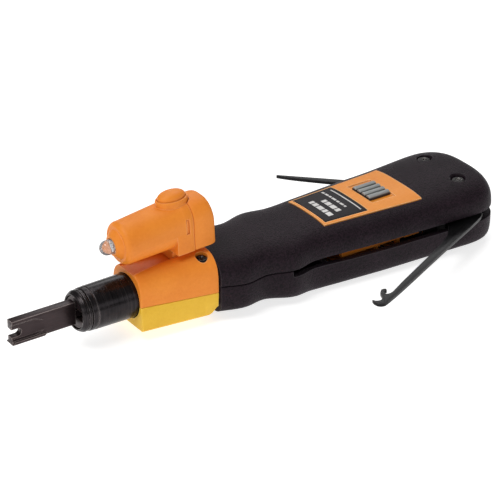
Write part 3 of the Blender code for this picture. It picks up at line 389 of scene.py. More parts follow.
def settle(part):
    """Replace a part's mesh with the result of its modifiers."""
    graph = bpy.context.evaluated_depsgraph_get()
    result = bpy.data.meshes.new_from_object(part.evaluated_get(graph))
    part.modifiers.clear()
    part.data = result
    return part


def combine(target, tools, operation):
    for tool in tools:
        step = target.modifiers.new("cut", 'BOOLEAN')
        step.operation = operation
        step.solver = 'EXACT'
        step.object = tool
        settle(target)
        bpy.data.objects.remove(tool, do_unlink=True)
    return target


def cut(target, *tools):
    return combine(target, tools, 'DIFFERENCE')


def join(target, *tools):
    return combine(target, tools, 'UNION')


def soften(part, width, angle, segments):
    """Round the sharp edges of a part."""
    step = part.modifiers.new("round", 'BEVEL')
    step.width = width
    step.segments = segments
    step.limit_method = 'ANGLE'
    step.angle_limit = math.radians(angle)
    step.use_clamp_overlap = True
    step.miter_outer = 'MITER_ARC'
    return settle(part)


def place(part, name, look, body, nodes=(), smooth=35.0):
    """Move a shape into the CAD frame, name it and hang it on its CAD body."""
    part.data.transform(Matrix.Scale(MM, 4) @ Matrix.Translation(-ORIGIN))
    part.name = name
    part.data.name = name
    part.data.materials.clear()
    part.data.materials.append(look)
    part.data.shade_smooth()
    part.data.set_sharp_from_angle(angle=math.radians(smooth))
    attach(part, body)
    if nodes:
        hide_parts(*nodes)
    return part


def arc(centre, radius, start, stop, steps):
    """Points on an arc, from start to stop in degrees."""
    points = []
    for i in range(steps + 1):
        angle = math.radians(start + (stop - start) * i / steps)
        points.append((centre[0] + radius * math.cos(angle), centre[1] + radius * math.sin(angle)))
    return points


def prism(outline, axis, low, high):
    """Draw an outline out along an axis, from low to high."""
    def spot(point, depth):
        a, b = point
        return {"x": (depth, a, b), "y": (a, depth, b), "z": (a, b, depth)}[axis]
    count = len(outline)
    verts = [spot(p, low) for p in outline] + [spot(p, high) for p in outline]
    faces = [list(range(count)), list(range(2 * count - 1, count - 1, -1))]
    faces += [[i, (i + 1) % count, count + (i + 1) % count, count + i] for i in range(count)]
    return solid(verts, faces)


def box(low, high):
    outline = [(low[0], low[1]), (high[0], low[1]), (high[0], high[1]), (low[0], high[1])]
    return prism(outline, "z", low[2], high[2])


def cylinder(axis, centre, radius, low, high, steps=48):
    return prism(arc(centre, radius, 0.0, 360.0, steps)[:-1], axis, low, high)


def turned(profile, steps=72, centre=(0.0, 0.0)):
    """Turn a closed (x, radius) profile about a line along x."""
    verts, rows = [], []
    for x, radius in profile:
        if radius == 0:
            rows.append([len(verts)] * steps)
            verts.append((x, centre[0], centre[1]))
            continue
        rows.append(list(range(len(verts), len(verts) + steps)))
        for k in range(steps):
            angle = 2 * math.pi * k / steps
            verts.append((x, centre[0] + radius * math.cos(angle), centre[1] + radius * math.sin(angle)))
    faces = []
    for row, after in zip(rows, rows[1:] + rows[:1]):
        for k in range(steps):
            n = (k + 1) % steps
            ring = list(dict.fromkeys([row[k], row[n], after[n], after[k]]))
            if len(ring) > 2:
                faces.append(ring)
    return solid(verts, faces)


def rounded_profile(profile, radii):
    """Round the corners of a closed (x, radius) profile; radii gives a radius per corner."""
    rounded = []
    count = len(profile)
    for i, (corner, radius) in enumerate(zip(profile, radii)):
        if not radius:
            rounded.append(corner)
            continue
        here = Vector(corner)
        before = Vector(profile[i - 1]) - here
        after = Vector(profile[(i + 1) % count]) - here
        reach = min(radius, before.length * 0.45, after.length * 0.45)
        start, stop = here + before.normalized() * reach, here + after.normalized() * reach
        for k in range(5):
            t = k / 4
            point = start * (1 - t) ** 2 + here * 2 * t * (1 - t) + stop * t ** 2
            rounded.append((point.x, point.y))
    return rounded


def loft(rings):
    """Join rings of equally many points into one closed solid."""
    count = len(rings[0])
    verts = [point for ring in rings for point in ring]
    last = (len(rings) - 1) * count
    faces = [list(range(count)), list(range(last + count - 1, last - 1, -1))]
    for r in range(len(rings) - 1):
        for i in range(count):
            n = (i + 1) % count
            faces.append([r * count + i, r * count + n, (r + 1) * count + n, (r + 1) * count + i])
    return solid(verts, faces)


def smooth_curve(points, x):
    """Height at x of a smooth line through (x, height) points."""
    x = min(max(x, points[0][0]), points[-1][0])
    index = max(i for i in range(len(points) - 1) if points[i][0] <= x)

    def slope(i):
        low, high = points[max(i - 1, 0)], points[min(i + 1, len(points) - 1)]
        return (high[1] - low[1]) / (high[0] - low[0])
    (x0, y0), (x1, y1) = points[index], points[index + 1]
    width = x1 - x0
    t = (x - x0) / width
    return (y0 * (2 * t ** 3 - 3 * t ** 2 + 1) + y1 * (3 * t ** 2 - 2 * t ** 3)
            + width * slope(index) * (t ** 3 - 2 * t ** 2 + t)
            + width * slope(index + 1) * (t ** 3 - t ** 2))


def curve_through(points, steps=4):
    """A smooth line through the points."""
    fine = []
    spots = [Vector(p) for p in points]
    for i in range(len(spots) - 1):
        before, after = spots[max(i - 1, 0)], spots[min(i + 2, len(spots) - 1)]
        for k in range(steps):
            s = k / steps
            point = 0.5 * (2 * spots[i] + (spots[i + 1] - before) * s
                           + (2 * before - 5 * spots[i] + 4 * spots[i + 1] - after) * s ** 2
                           + (3 * spots[i] - before - 3 * spots[i + 1] + after) * s ** 3)
            fine.append((point.x, point.y))
    return fine + [points[-1]]


def ramp(x, span):
    """0 before the span, 1 after it, with a smooth rise between."""
    t = min(max((x - span[0]) / (span[1] - span[0]), 0.0), 1.0)
    return t * t * (3 - 2 * t)


# ---------------------------------------------------------------- handle

def half_width(x):
    if x <= END_ROUND_START:
        return smooth_curve(GRIP_OUTLINE, x)
    t = min((x - END_ROUND_START) / (HANDLE_REAR - END_ROUND_START), 1.0)
    return GRIP_OUTLINE[-1][1] * (1.0 - t ** END_EXPONENT) ** (1.0 / END_EXPONENT)


def floor_height(x):
    return FLOOR_FRONT + (FLOOR_REAR - FLOOR_FRONT) * ramp(x, FLOOR_SLOPE)


def top_height(x):
    return HANDLE_TOP + TOP_RISE * ramp(x, TOP_SLOPE)


def crown_height(x, y):
    ratio = min(abs(y) / half_width(x), 1.0)
    return top_height(x) * (1.0 - ratio ** CROWN_EXPONENT) ** (1.0 / CROWN_EXPONENT)


def plan_outline(start, stop, inset):
    """The handle's plan between two stations, inset all round."""
    straight_end = min(stop, END_ROUND_START)
    pitch, corners = (1.6, 28) if inset == 0 else (6.0, 8)
    steps = max(int((straight_end - start) / pitch), 2)
    stations = [start + (straight_end - start) * i / steps for i in range(steps + 1)]
    near = [(x, half_width(x) - inset) for x in stations]
    if stop > END_ROUND_START:
        width = GRIP_OUTLINE[-1][1] - inset
        for i in range(1, corners):
            angle = math.pi / 2 * i / corners
            near.append((END_ROUND_START + (stop - END_ROUND_START) * math.sin(angle) ** (2 / END_EXPONENT),
                         width * math.cos(angle) ** (2 / END_EXPONENT)))
    return [(x, -y) for x, y in near] + [(x, y) for x, y in reversed(near)]


def handle_block(levels, start, stop, inset, height):
    """Stack the plan outline at each level (width factor, height factor, extra inset)."""
    outline = plan_outline(start, stop, inset)
    count = len(outline)
    verts = []
    for width, rise, tuck in levels:
        for x, y in outline:
            if x > END_ROUND_START:
                x = END_ROUND_START + (x - END_ROUND_START) * (1.0 - (1.0 - width) * END_PULL)
                x -= tuck * (x - END_ROUND_START) / (HANDLE_REAR - END_ROUND_START)
            y = y * width
            y -= math.copysign(min(tuck, abs(y)), y)
            verts.append((x, y, height(x) * rise))
    faces = []
    for level in range(len(levels) - 1):
        base = level * count
        for i in range(count):
            n = (i + 1) % count
            faces.append([base + i, base + n, base + count + n, base + count + i])
    for base in (0, (len(levels) - 1) * count):
        for i in range(count // 2 - 1):
            faces.append([base + i, base + i + 1, base + count - 2 - i, base + count - 1 - i])
    return solid(verts, faces)


def rounded_levels(angles, exponent, start, total=0.0):
    """Superellipse levels; a shell's meeting edge is rolled over EDGE when total is its height."""
    levels = []
    if total:
        for step in (0, 30, 60, 90):
            turn = math.radians(step)
            levels.append((1.0, start + EDGE / total * (1 - math.cos(turn)), EDGE * (1 - math.sin(turn))))
    else:
        levels.append((1.0, start, 0.0))
    last = math.sin(math.radians(angles[-1])) ** (2 / exponent)
    for angle in angles:
        a = math.radians(angle)
        rise = math.sin(a) ** (2 / exponent) / last
        if rise > levels[-1][1]:
            levels.append((math.cos(a) ** (2 / exponent), rise, 0.0))
    return levels


def cavities(side):
    """Cutters for the hollows between a shell's walls and ribs."""
    walls = [HANDLE_FRONT + WALL] + [edge for rib in RIBS for edge in rib] + [HANDLE_REAR - WALL]
    exponent = CROWN_EXPONENT if side == "top" else FLOOR_EXPONENT
    levels = rounded_levels((12, 32, 56, 80), exponent, -0.1)
    height = (lambda x: top_height(x) - WALL) if side == "top" else (lambda x: floor_height(x) + WALL)
    return [handle_block(levels, start, stop, WALL, height) for start, stop in zip(walls[::2], walls[1::2])]


def crown_patch(span, half, low, high, shift=0.0, columns=PATCH_CELLS, rows=PATCH_CELLS):
    """A slab that follows the crowned top, from low to high measured off its surface."""
    verts = []
    for offset in (low, high):
        for i in range(columns + 1):
            x = span[0] + (span[1] - span[0]) * i / columns
            reach = half[0] + (half[1] - half[0]) * i / columns
            for j in range(rows + 1):
                y = shift + reach * (2.0 * j / rows - 1.0)
                verts.append((x, y, crown_height(x, y) + offset))
    row = rows + 1
    sheet = (columns + 1) * row
    faces = []
    for base in (0, sheet):
        for i in range(columns):
            for j in range(rows):
                a = base + i * row + j
                faces.append([a, a + 1, a + row + 1, a + row])
    border = [i * row for i in range(columns + 1)]
    border += [columns * row + j for j in range(1, row)]
    border += [i * row + rows for i in range(columns - 1, -1, -1)]
    border += list(range(rows - 1, 0, -1))
    for a, b in zip(border, border[1:] + border[:1]):
        faces.append([a, b, b + sheet, a + sheet])
    return solid(verts, faces)


def selector_window(low, high):
    """Cutter for the opening that the selector's stem moves in."""
    middle = sum(SELECTOR_X) / 2
    reach = STEM_HALF[1] + SELECTOR_TRAVEL + GAP
    return box((middle - STEM_WINDOW_HALF, -reach, low), (middle + STEM_WINDOW_HALF, reach, high))


def bore_cutters():
    """Cutters for the barrel's sleeve in the front wall and the guide tube in the ribs."""
    return [cylinder("x", (0, 0), SLEEVE_BORE, *SLEEVE_BORE_SPAN),
            cylinder("x", (0, 0), TUBE_HOLE, *TUBE_HOLE_SPAN)]


def make_shells():
    levels = rounded_levels(tuple(range(3, 90, 4)), CROWN_EXPONENT, PART_LINE / HANDLE_TOP, HANDLE_TOP)
    shell = handle_block(levels, HANDLE_FRONT, HANDLE_REAR, 0.0, top_height)
    cut(shell, *cavities("top"))
    ceiling = HANDLE_TOP + TOP_RISE - WALL + 0.4
    for y in (-PIVOT_Y, PIVOT_Y):
        join(shell, cylinder("z", (PIVOT_X, y), BOSS_RADIUS, 0.5, ceiling))
        sink = turned(PIVOT_RECESS, 48)
        sink.data.transform(Matrix.Translation((PIVOT_X, y, 0)) @ Matrix.Rotation(-math.pi / 2, 4, 'Y'))
        cut(shell, cylinder("z", (PIVOT_X, y), PIVOT_HOLE, -1.0, 12.0), sink)
    cut(shell, *bore_cutters(),
        crown_patch((PLATE_X[0] - GAP, PLATE_X[1] + GAP), (PLATE_HALF[0] + GAP, PLATE_HALF[1] + GAP),
                    -1.4, 4.0),
        selector_window(5.0, 12.0))
    place(shell, "top_shell", GRIP, "handle", ["handle_top_shell"])

    levels = rounded_levels((2, 5, 9, 14, 20, 27, 35, 43, 51, 58, 65, 71, 77, 82, 86), FLOOR_EXPONENT,
                            PART_LINE / -FLOOR_REAR, -FLOOR_REAR)
    shell = handle_block(levels, HANDLE_FRONT, HANDLE_REAR, 0.0, floor_height)
    cut(shell, *cavities("bottom"))
    cut(shell, *bore_cutters())
    for front, low, high in SLOT_FRONTS:
        profile = [(SLOT_OPEN_REAR, SLOT_OPEN_TOP), (front, SLOT_OPEN_TOP)]
        profile += arc((front + SLOT_CORNER, SLOT_FLOOR_FRONT + SLOT_CORNER), SLOT_CORNER, 180.0, 270.0, 12)
        profile += [(front + SLOT_DEEPENS, SLOT_FLOOR), (SLOT_OPEN_REAR, SLOT_FLOOR)]
        cut(shell, prism(profile, "y", low, high))
    for y in (-PIVOT_Y, PIVOT_Y):
        join(shell, cylinder("z", (PIVOT_X, y), BOSS_RADIUS, FLOOR_REAR + WALL - 0.4, SLOT_FLOOR - 0.1))
        cut(shell, cylinder("z", (PIVOT_X, y), PIVOT_HOLE, -11.6, 0.0))
    place(shell, "bottom_shell", GRIP, "handle", ["handle_bottom_shell"])


def make_faceplate():
    plate = crown_patch(PLATE_X, PLATE_HALF, -1.1, 0.28)
    pocket = crown_patch((LABEL_X[0] - 0.2, LABEL_X[1] + 0.2), [half + 0.15 for half in LABEL_HALF],
                         -0.5, 3.0, LABEL_SHIFT)
    reach = SELECTOR_HALF + SELECTOR_TRAVEL + GAP
    tray = box((SELECTOR_X[0] - 0.6, -reach, 9.9), (SELECTOR_X[1] + 0.5, reach, 13.0))
    cut(plate, pocket, tray, selector_window(5.0, 12.0))
    soften(plate, 0.22, 50.0, 2)
    place(plate, "plate", PLATE_ORANGE, "handle", ["faceplate"], 40.0)

    label = soften(crown_patch(LABEL_X, LABEL_HALF, -0.2, 0.30, LABEL_SHIFT), 0.08, 50.0, 2)
    place(label, "label", LABEL, "handle", ["label_panel"], 40.0)
    bars = [LABEL_RULE]
    for row, (x, width, marks) in enumerate(LABEL_ROWS):
        y = LABEL_ROW_START + LABEL_ROW_INDENT * row
        for length in marks:
            bars.append((x, x + width, y + length / 2, length / 2))
            y += length + LABEL_MARK_GAP
    for index, (front, rear, middle, half) in enumerate(bars):
        mark = crown_patch((front, rear), (half, half), *MARK_HEIGHTS, middle, 1, 6)
        place(mark, "label_mark_%02d" % index, WHITE_INK, "handle")


def make_selector():
    middle = sum(SELECTOR_X) / 2
    pitch = 2 * SELECTOR_HALF / SELECTOR_RIDGES
    profile = [(-SELECTOR_HALF, SELECTOR_BASE), (-SELECTOR_HALF, SELECTOR_EDGE)]
    for k in range(SELECTOR_RIDGES):
        centre = -SELECTOR_HALF + pitch * (k + 0.5)
        profile += [(centre + RIDGE_HALF * math.cos(turn), RIDGE_CENTRE + RIDGE_RISE * math.sin(turn))
                    for turn in (math.radians(180 - 20 * step) for step in range(10))]
        if k < SELECTOR_RIDGES - 1:
            profile += [(centre + 1.06, GROOVE_FLOOR), (centre + pitch - 1.06, GROOVE_FLOOR)]
    profile += [(SELECTOR_HALF, SELECTOR_EDGE), (SELECTOR_HALF, SELECTOR_BASE)]
    thumb = prism(profile, "x", *SELECTOR_X)
    soften(thumb, 0.12, 60.0, 2)
    join(thumb, box((middle - STEM_HALF[0], -STEM_HALF[1], 6.0),
                    (middle + STEM_HALF[0], STEM_HALF[1], SELECTOR_EDGE)))
    place(thumb, "selector_thumb", GREY, "selector", ["selector_slide"], 40.0)


# ---------------------------------------------------------------- collar

def collar_ring(x, part):
    """Cross-section of one collar half; it widens towards the handle."""
    front, rear = COLLAR_SECTIONS[part]
    t = x / COLLAR_REAR
    half = [(a + (c - a) * t, b + (d - b) * t) for (a, b), (c, d) in zip(front, rear)]
    half[0] = (half[0][0], half[0][1] + SPLIT_HEIGHT - SPLIT_DROP * t)
    if part == "lower":
        lift = LOWER_REAR_LIFT * ramp(x, LOWER_REAR_CURVE) ** 2
        half[2:] = [(y, z + lift) for y, z in half[2:]]
    else:
        half = [half[0]] + curve_through(half[1:], 5)
    return [(x, -y, z) for y, z in half] + [(x, y, z) for y, z in reversed(half)]


def make_collar():
    for part, look, slot_name in (("upper", ORANGE, "orange_plastic"), ("lower", YELLOW, "yellow_plastic")):
        shape = loft([collar_ring(x, part) for x in COLLAR_STATIONS])
        soften(shape, 0.30, 40.0, 4)
        cut(shape, cylinder("x", (0, 0), COLLAR_BORE, -1.0, COLLAR_BORE_END, 96),
            cylinder("x", (0, 0), SLEEVE_BORE, 20.0, 31.0))
        for side in (-1, 1):
            spot = (COLLAR_SCREW[0], side * COLLAR_SCREW[1])
            if part == "upper":
                cut(shape, cylinder("z", spot, COLLAR_SCREW_HOLE, -5.0, 14.0),
                    cylinder("z", spot, COLLAR_RECESS, COLLAR_SEAT, 14.0))
            else:
                cut(shape, cylinder("z", spot, COLLAR_SCREW_HOLE, -8.2, 1.0))
        if part == "upper":
            cut(shape, prism(CHANNEL, "x", -1.0, CHANNEL_END))
        place(shape, "collar_half_" + part, look, "handle", ["collar_" + part], 40.0)
    for side, label in ((-1, "near"), (1, "far")):
        spot = (COLLAR_SCREW[0], side * COLLAR_SCREW[1])
        make_screw("collar_screw_head_" + label, spot, COLLAR_SCREW_HEAD,
                   (COLLAR_SEAT + GAP, COLLAR_SCREW_TOP), "collar_screw_" + label,
                   COLLAR_SCREW_TIP, COLLAR_SCREW_SHANK)


def make_screw(name, spot, head, heights, node_name, tip, shank):
    """Pan head with a tapered cross recess, on its shank."""
    under, top = heights
    profile = [(tip, 0), (tip, shank * 0.6), (tip + 0.8, shank), (under, shank), (under, head),
               (top - 0.5, head), (top - 0.2, head * 0.93), (top, head * 0.72), (top, 0)]
    screw = turned(profile, 48)
    screw.data.transform(Matrix.Translation((*spot, 0)) @ Matrix.Rotation(-math.pi / 2, 4, 'Y'))
    for turn in (35.0, 125.0):
        wing = loft([[(x, y, z) for x, y in ((-w, -0.32), (w, -0.32), (w, 0.32), (-w, 0.32))]
                     for w, z in ((head * 0.22, top - 1.0), (head * 0.62, top + 0.3))])
        wing.data.transform(Matrix.Translation((*spot, 0)) @ Matrix.Rotation(math.radians(turn), 4, 'Z'))
        cut(screw, wing)
    soften(screw, 0.06, 40.0, 2)
    place(screw, name, SCREW_BLACK, "handle", [node_name])


# ---------------------------------------------------------------- barrel and blade

def make_barrel():
    groove_front, groove_rear = RING_GROOVE
    # round the blade's socket, out over the mouth and the ring's groove, back to the rear sleeve
    profile = [(4.0, 0), (4.0, 2.3), (-6.6, 2.3), (-6.6, 5.4), (SOCKET_STEP, 5.4), (SOCKET_STEP, 6.1),
               (BARREL_FRONT, 6.1), (BARREL_FRONT, 6.7), (BARREL_FRONT + 1.3, 7.6), (groove_front, 7.7),
               (groove_front, 7.0), (groove_rear, 7.0), (groove_rear, 7.85), (-16.4, 7.95), (-16.2, 7.75),
               (-15.9, 7.75), (-15.7, 8.0), (-2.0, BARREL_RADIUS), (BARREL_STEP, BARREL_RADIUS),
               (BARREL_STEP, 6.0), (33.0, 6.0), (33.0, 6.4), (36.0, 6.4), (36.0, 2.2), (26.0, 2.2), (26.0, 0)]
    radii = [0, 0, 0, 0, 0, 0, 0.25, 0.4, 0.5, 0.3, 0.1, 0.1, 0.3, 0.1, 0.05, 0.05, 0.1, 0, 0.5,
             0, 0, 0, 0, 0, 0, 0]
    barrel = turned(rounded_profile(profile, radii), 120)
    place(barrel, "barrel_sleeve", BARREL, "plunger", ["barrel"])

    outer = arc((0, 0), 7.6, -90 + RING_OPENING, 270 - RING_OPENING, 80)
    inner = arc((0, 0), 7.2, 270 - RING_OPENING, -90 + RING_OPENING, 80)
    ring = soften(prism(outer + inner, "x", groove_front + 0.25, groove_rear - 0.25), 0.12, 60.0, 3)
    place(ring, "snap_ring", BARREL, "plunger", ["retaining_ring"], 40.0)

    plate = cylinder("x", (0, 0), 5.8, BARREL_FRONT + 0.4, SOCKET_STEP - 0.5)
    cut(plate, box((-25.0, -5.1, -1.95), (-15.0, 5.1, 1.95)))
    soften(plate, 0.15, 40.0, 3)
    place(plate, "lock_plate", BLADE, "plunger", ["bayonet_plate"])


def make_blade():
    """Notched blade with a scooped near face and a wide cutting edge under its front."""
    neck_front, neck_rear = NECK
    notch = arc((BLADE_FRONT + 2.4, 0.0), NOTCH_RADIUS, 90.0, -90.0, 20)
    outline = [(BLADE_FRONT, BLADE_TOP), (BLADE_FRONT, NOTCH_RADIUS)] + notch
    outline += [(BLADE_FRONT, -NOTCH_RADIUS), (BLADE_FRONT, BLADE_BOTTOM),
                (neck_front, BLADE_BOTTOM), (neck_front, -NECK_HALF), (neck_rear, -NECK_HALF),
                (neck_rear, BLADE_BOTTOM),
                (BLADE_REAR - 1.5, BLADE_BOTTOM), (BLADE_REAR, BLADE_BOTTOM + 1.4),
                (BLADE_REAR, BLADE_TOP - 1.4), (BLADE_REAR - 1.5, BLADE_TOP),
                (neck_rear, BLADE_TOP), (neck_rear, NECK_HALF), (neck_front, NECK_HALF),
                (neck_front, BLADE_TOP)]
    blade = prism(outline, "y", -BLADE_HALF_THICK, BLADE_HALF_THICK)
    cut(blade, box((neck_front, -3.0, -3.0), (neck_rear, -NECK_HALF_THICK, 3.0)),
        box((neck_front, NECK_HALF_THICK, -3.0), (neck_rear, 3.0, 3.0)))
    scoop = []
    for i in range(SCOOP_STEPS + 1):
        x = SCOOP_START + SCOOP_LENGTH * i / SCOOP_STEPS
        ease = ramp(x, SCOOP_RUNOUT)
        high = BLADE_TOP - 1.3 - 1.1 * ease
        low = BLADE_BOTTOM + 1.1 + 0.5 * ease
        floor = -1.05 - 0.6 * ease
        scoop.append([(x, -3.0, low - 0.4), (x, floor - 0.45, low), (x, floor, low + 0.5),
                      (x, floor, high - 0.5), (x, floor - 0.45, high), (x, -3.0, high + 0.4)])
    cut(blade, loft(scoop))
    join(blade, prism([(-33.5, BLADE_BOTTOM + 0.9), (-46.0, BLADE_BOTTOM + 0.9),
                       (-47.2, BLADE_BOTTOM - 0.1), (-34.5, BLADE_BOTTOM - 0.1)], "y", -2.3, 2.3))
    soften(blade, 0.10, 40.0, 2)
    place(blade, "blade_plate", BLADE, "blade_body", ["blade"], 30.0)


# ---------------------------------------------------------------- fold-out tools

def flat_tool(name, outline, pivot, angle, body, node_name):
    turn = Matrix.Rotation(math.radians(angle), 2)
    spots = [turn @ Vector(p) for p in outline]
    low = TOOL_PLANE - TOOL_THICKNESS / 2
    shape = prism([(pivot[0] + p.x, pivot[1] + p.y) for p in spots], "z", low, low + TOOL_THICKNESS)
    cut(shape, cylinder("z", pivot, TOOL_EYE, -6.0, 3.0))
    soften(shape, 0.22, 50.0, 3)
    place(shape, name, TOOL, body, [node_name])


def make_fold_out_tools():
    root = arc((0, 0), TOOL_ROOT, 250.0, 120.0, 20)
    back = curve_through([(0.5, 9.5), (4.0, 11.9), (36.0, 12.1), (66.0, 12.5), (77.7, 12.3)], 3)
    tip = arc((78.9, 9.7), 2.5, 75.0, 0.0, 10) + [(81.0, 8.2), (80.0, 6.9)]
    mouth = curve_through([(80.0, 6.9), (79.9, 8.2), (79.2, 9.2), (78.2, 9.6), (77.0, 9.4), (75.7, 8.4),
                           (74.2, 7.0)], 3)[1:]
    barb = arc((72.0, 7.7), 1.5, 300.0, 190.0, 8)
    barb += curve_through([(71.2, 8.1), (72.2, 7.6), (73.3, 8.0), (73.6, 9.1), (72.8, 9.9), (71.0, 10.3)], 3)
    belly = curve_through([(62.0, 9.8), (43.0, 9.2), (30.0, 8.6), (22.0, 7.2), (14.0, 3.2), (8.0, -1.5),
                           (3.5, -4.2)], 4)
    flat_tool("hook", root + back + tip + mouth + barb + belly, (PIVOT_X, -PIVOT_Y), 204.65, "hook",
              "hook_tool")
    outline = arc((0, 0), TOOL_ROOT, 105.0, 290.0, 24)
    outline += curve_through([(8.0, -1.6), (20.0, 2.2), (31.0, 2.6), (50.0, 4.0), (56.5, 4.5)], 4)
    outline += [(56.9, 4.9)]
    outline += curve_through([(56.3, 5.3), (48.0, 5.8), (31.0, 5.5), (24.0, 5.0), (18.0, 4.7), (8.0, 4.4)], 4)
    flat_tool("spudger_blade", outline, (PIVOT_X, PIVOT_Y), 131.9, "spudger_body", "spudger")
    for side, label in ((-1, "near"), (1, "far")):
        make_screw("pivot_screw_head_" + label, (PIVOT_X, side * PIVOT_Y), PIVOT_SCREW_HEAD,
                   PIVOT_SCREW_HEIGHTS, "pivot_screw_" + label, PIVOT_SCREW_TIP,
                   PIVOT_SHANK)


# ---------------------------------------------------------------- light

def tilt(part):
    """Move a shape from the light's frame into the tool's."""
    part.data.transform(Matrix.Translation(LIGHT_ORIGIN) @ Matrix.Rotation(-LIGHT_TILT, 4, 'Y'))
    return part


def block_outline():
    half = [(BLOCK_HALF, BLOCK_FOOT)]
    half += arc((BLOCK_HALF - BLOCK_CORNER, BLOCK_TOP - BLOCK_CORNER), BLOCK_CORNER, 0.0, 90.0, 16)
    return [(-y, v) for y, v in half] + [(y, v) for y, v in reversed(half)]


def oval(length, width):
    """An oval about the button's centre."""
    turns = [2 * math.pi * i / 72 for i in range(72)]
    return [(BUTTON_U + length / 2 * math.cos(turn), width / 2 * math.sin(turn)) for turn in turns]


def shrunk_oval(length, width, scale, v):
    """A ring of the oval's shape at height v, scaled about the button's centre."""
    return [(BUTTON_U + (u - BUTTON_U) * scale, y * scale, v) for u, y in oval(length, width)]


def flare():
    """The top of the round body, widening into the block's."""
    square = block_outline()[1:-1]
    square = square[:len(square) // 2]
    radius = LIGHT_RADIUS - FLARE_INSET
    rings = []
    for i in range(FLARE_STEPS + 1):
        share = i / FLARE_STEPS
        u = FLARE[0] + (FLARE[1] - FLARE[0]) * share
        ring = []
        for k, (y, v) in enumerate(square):
            angle = math.radians(8.0 + 76.0 * k / (len(square) - 1))
            round_y, round_v = -radius * math.cos(angle), radius * math.sin(angle)
            ring.append((round_y + (y - round_y) * share, round_v + (v - round_v) * share))
        ring = [(ring[0][0], -1.0)] + ring
        ring = ring + [(-y, v) for y, v in reversed(ring)]
        rings.append([(u, y, v) for y, v in ring])
    return loft(rings)


def make_light():
    profile = [(NOSE, 0), (NOSE, 3.6), (NOSE + 2.0, 5.4), (0.15, 5.55), (0.15, 5.85)]
    profile += [(2.2 - 2.2 * math.cos(turn), 5.9 + 2.0 * math.sin(turn))
                for turn in (math.radians(10 * step) for step in range(1, 10))]
    profile += [(25.0, LIGHT_RADIUS), (25.0, 0)]
    radii = [0, 0.5, 0.2, 0.05, 0.05] + [0] * 11
    shape = turned(rounded_profile(profile, radii), 120)
    join(shape, prism(block_outline(), "x", FLARE[1] - 0.02, LIGHT_SEAM), flare(),
         box((FOOT_FRONT, -BLOCK_HALF, BLOCK_FOOT), (FLARE[1] + 1.0, BLOCK_HALF, -0.5)))
    boss = [shrunk_oval(12.6, 8.7, scale, v)
            for scale, v in ((1.03, 5.0), (1.0, 8.6), (1.0, 10.2), (0.985, 10.6), (0.94, BOSS_TOP))]
    join(shape, loft(boss))
    cut(shape, box((LIGHT_SEAM, -10.0, -12.0), (40.0, 10.0, OVERHANG)))
    soften(shape, 0.16, 44.0, 2)
    cut(shape, cylinder("x", (0, 0), CELL_RADIUS + GAP, 3.6, 30.0, 72),    # cells
        cylinder("x", (0, 0), 2.95, NOSE - 1.0, 5.0),                      # LED
        prism(oval(11.3, 7.4), "z", BUTTON_BOTTOM - BUTTON_TRAVEL - GAP, 14.0),
        box((BUTTON_U - 2.8, -3.1, 4.0), (BUTTON_U + 2.8, 3.1, 9.5)),      # switch
        box((24.1, -9.0, -1.0), (25.4, -7.3, 4.6)))                        # latch
    tilt(shape)
    join(shape, prism(TAIL, "x", *TAIL_SPAN), box((TAIL_SPAN[0], -3.6, 13.0), (22.4, 3.6, 14.8)))
    place(shape, "light_housing", ORANGE, "light", ["light_body"], 40.0)

    latch = soften(box((24.35, -7.62, -0.75), (25.0, -7.32, 4.3)), 0.1, 40.0, 2)
    place(tilt(latch), "light_latch", ORANGE, "light")

    dome = [(LED_FRONT + LED_RADIUS * (1 - math.cos(turn)), LED_RADIUS * math.sin(turn))
            for turn in (math.radians(a) for a in range(6, 91, 6))]
    led = turned([(LED_FRONT, 0)] + dome + [(LED_FLANGE, LED_RADIUS), (LED_BACK, LED_RADIUS), (LED_BACK, 0)],
                 48)
    place(tilt(led), "led_lens", CLEAR, "light", ["led"])
    cup = turned([(-1.6, 0.35), (-2.3, 1.0), (-2.5, 1.15), (-2.4, 1.3), (-1.2, 1.0), (2.8, 0.75),
                  (2.8, 0), (-1.6, 0)], 32)
    place(tilt(cup), "led_reflector", WHITE_INK, "light")
    post = turned([(-2.0, 0), (-2.0, 0.35), (2.8, 0.3), (2.8, 0)], 16, (1.5, 0.3))
    place(tilt(post), "led_post", STEEL, "light")

    crown = [shrunk_oval(10.8, 6.9, scale, v)
             for scale, v in ((1.0, BUTTON_BOTTOM), (1.0, 11.5), (0.985, 11.8), (0.95, 12.1),
                              (0.88, 12.45), (0.76, 12.8), (0.58, 13.03), (0.34, 13.17), (0.12, 13.2))]
    place(tilt(loft(crown)), "push_button", ORANGE, "button", ["light_button"], 50.0)

    stations = [(LIGHT_SEAM + GAP, 0.35, 0.35), (LIGHT_SEAM + GAP + 0.12, 0.12, 0.12),
                (LIGHT_SEAM + GAP + 0.4, 0.0, 0.0)]
    for i in range(13):
        t = i / 12
        stations.append((CAP_CURVE_START + (LIGHT_REAR - CAP_CURVE_START) * math.sin(t * math.pi / 2) ** 0.9,
                         0.9 * t ** 3, 3.4 * (1 - math.cos(t * math.pi / 2)) ** 1.15))
    cap = loft([[(u, math.copysign(abs(y) - shrink, y), v + (shrink if v < 0 else -drop))
                 for y, v in block_outline()] for u, shrink, drop in stations])
    soften(cap, 0.3, 55.0, 3)
    cut(cap, cylinder("x", (0, 0), CELL_RADIUS + GAP, 26.0, 33.0, 72),
        prism(oval(13.2, 9.3), "z", OVERHANG - GAP, 14.0))
    place(tilt(cap), "light_end_cap", ORANGE, "cap", ["light_cap"], 40.0)


make_shells()
make_faceplate()
make_selector()
make_collar()
make_barrel()
make_blade()
make_fold_out_tools()
make_light()


# ---------------------------------------------------------------- stage, light, camera

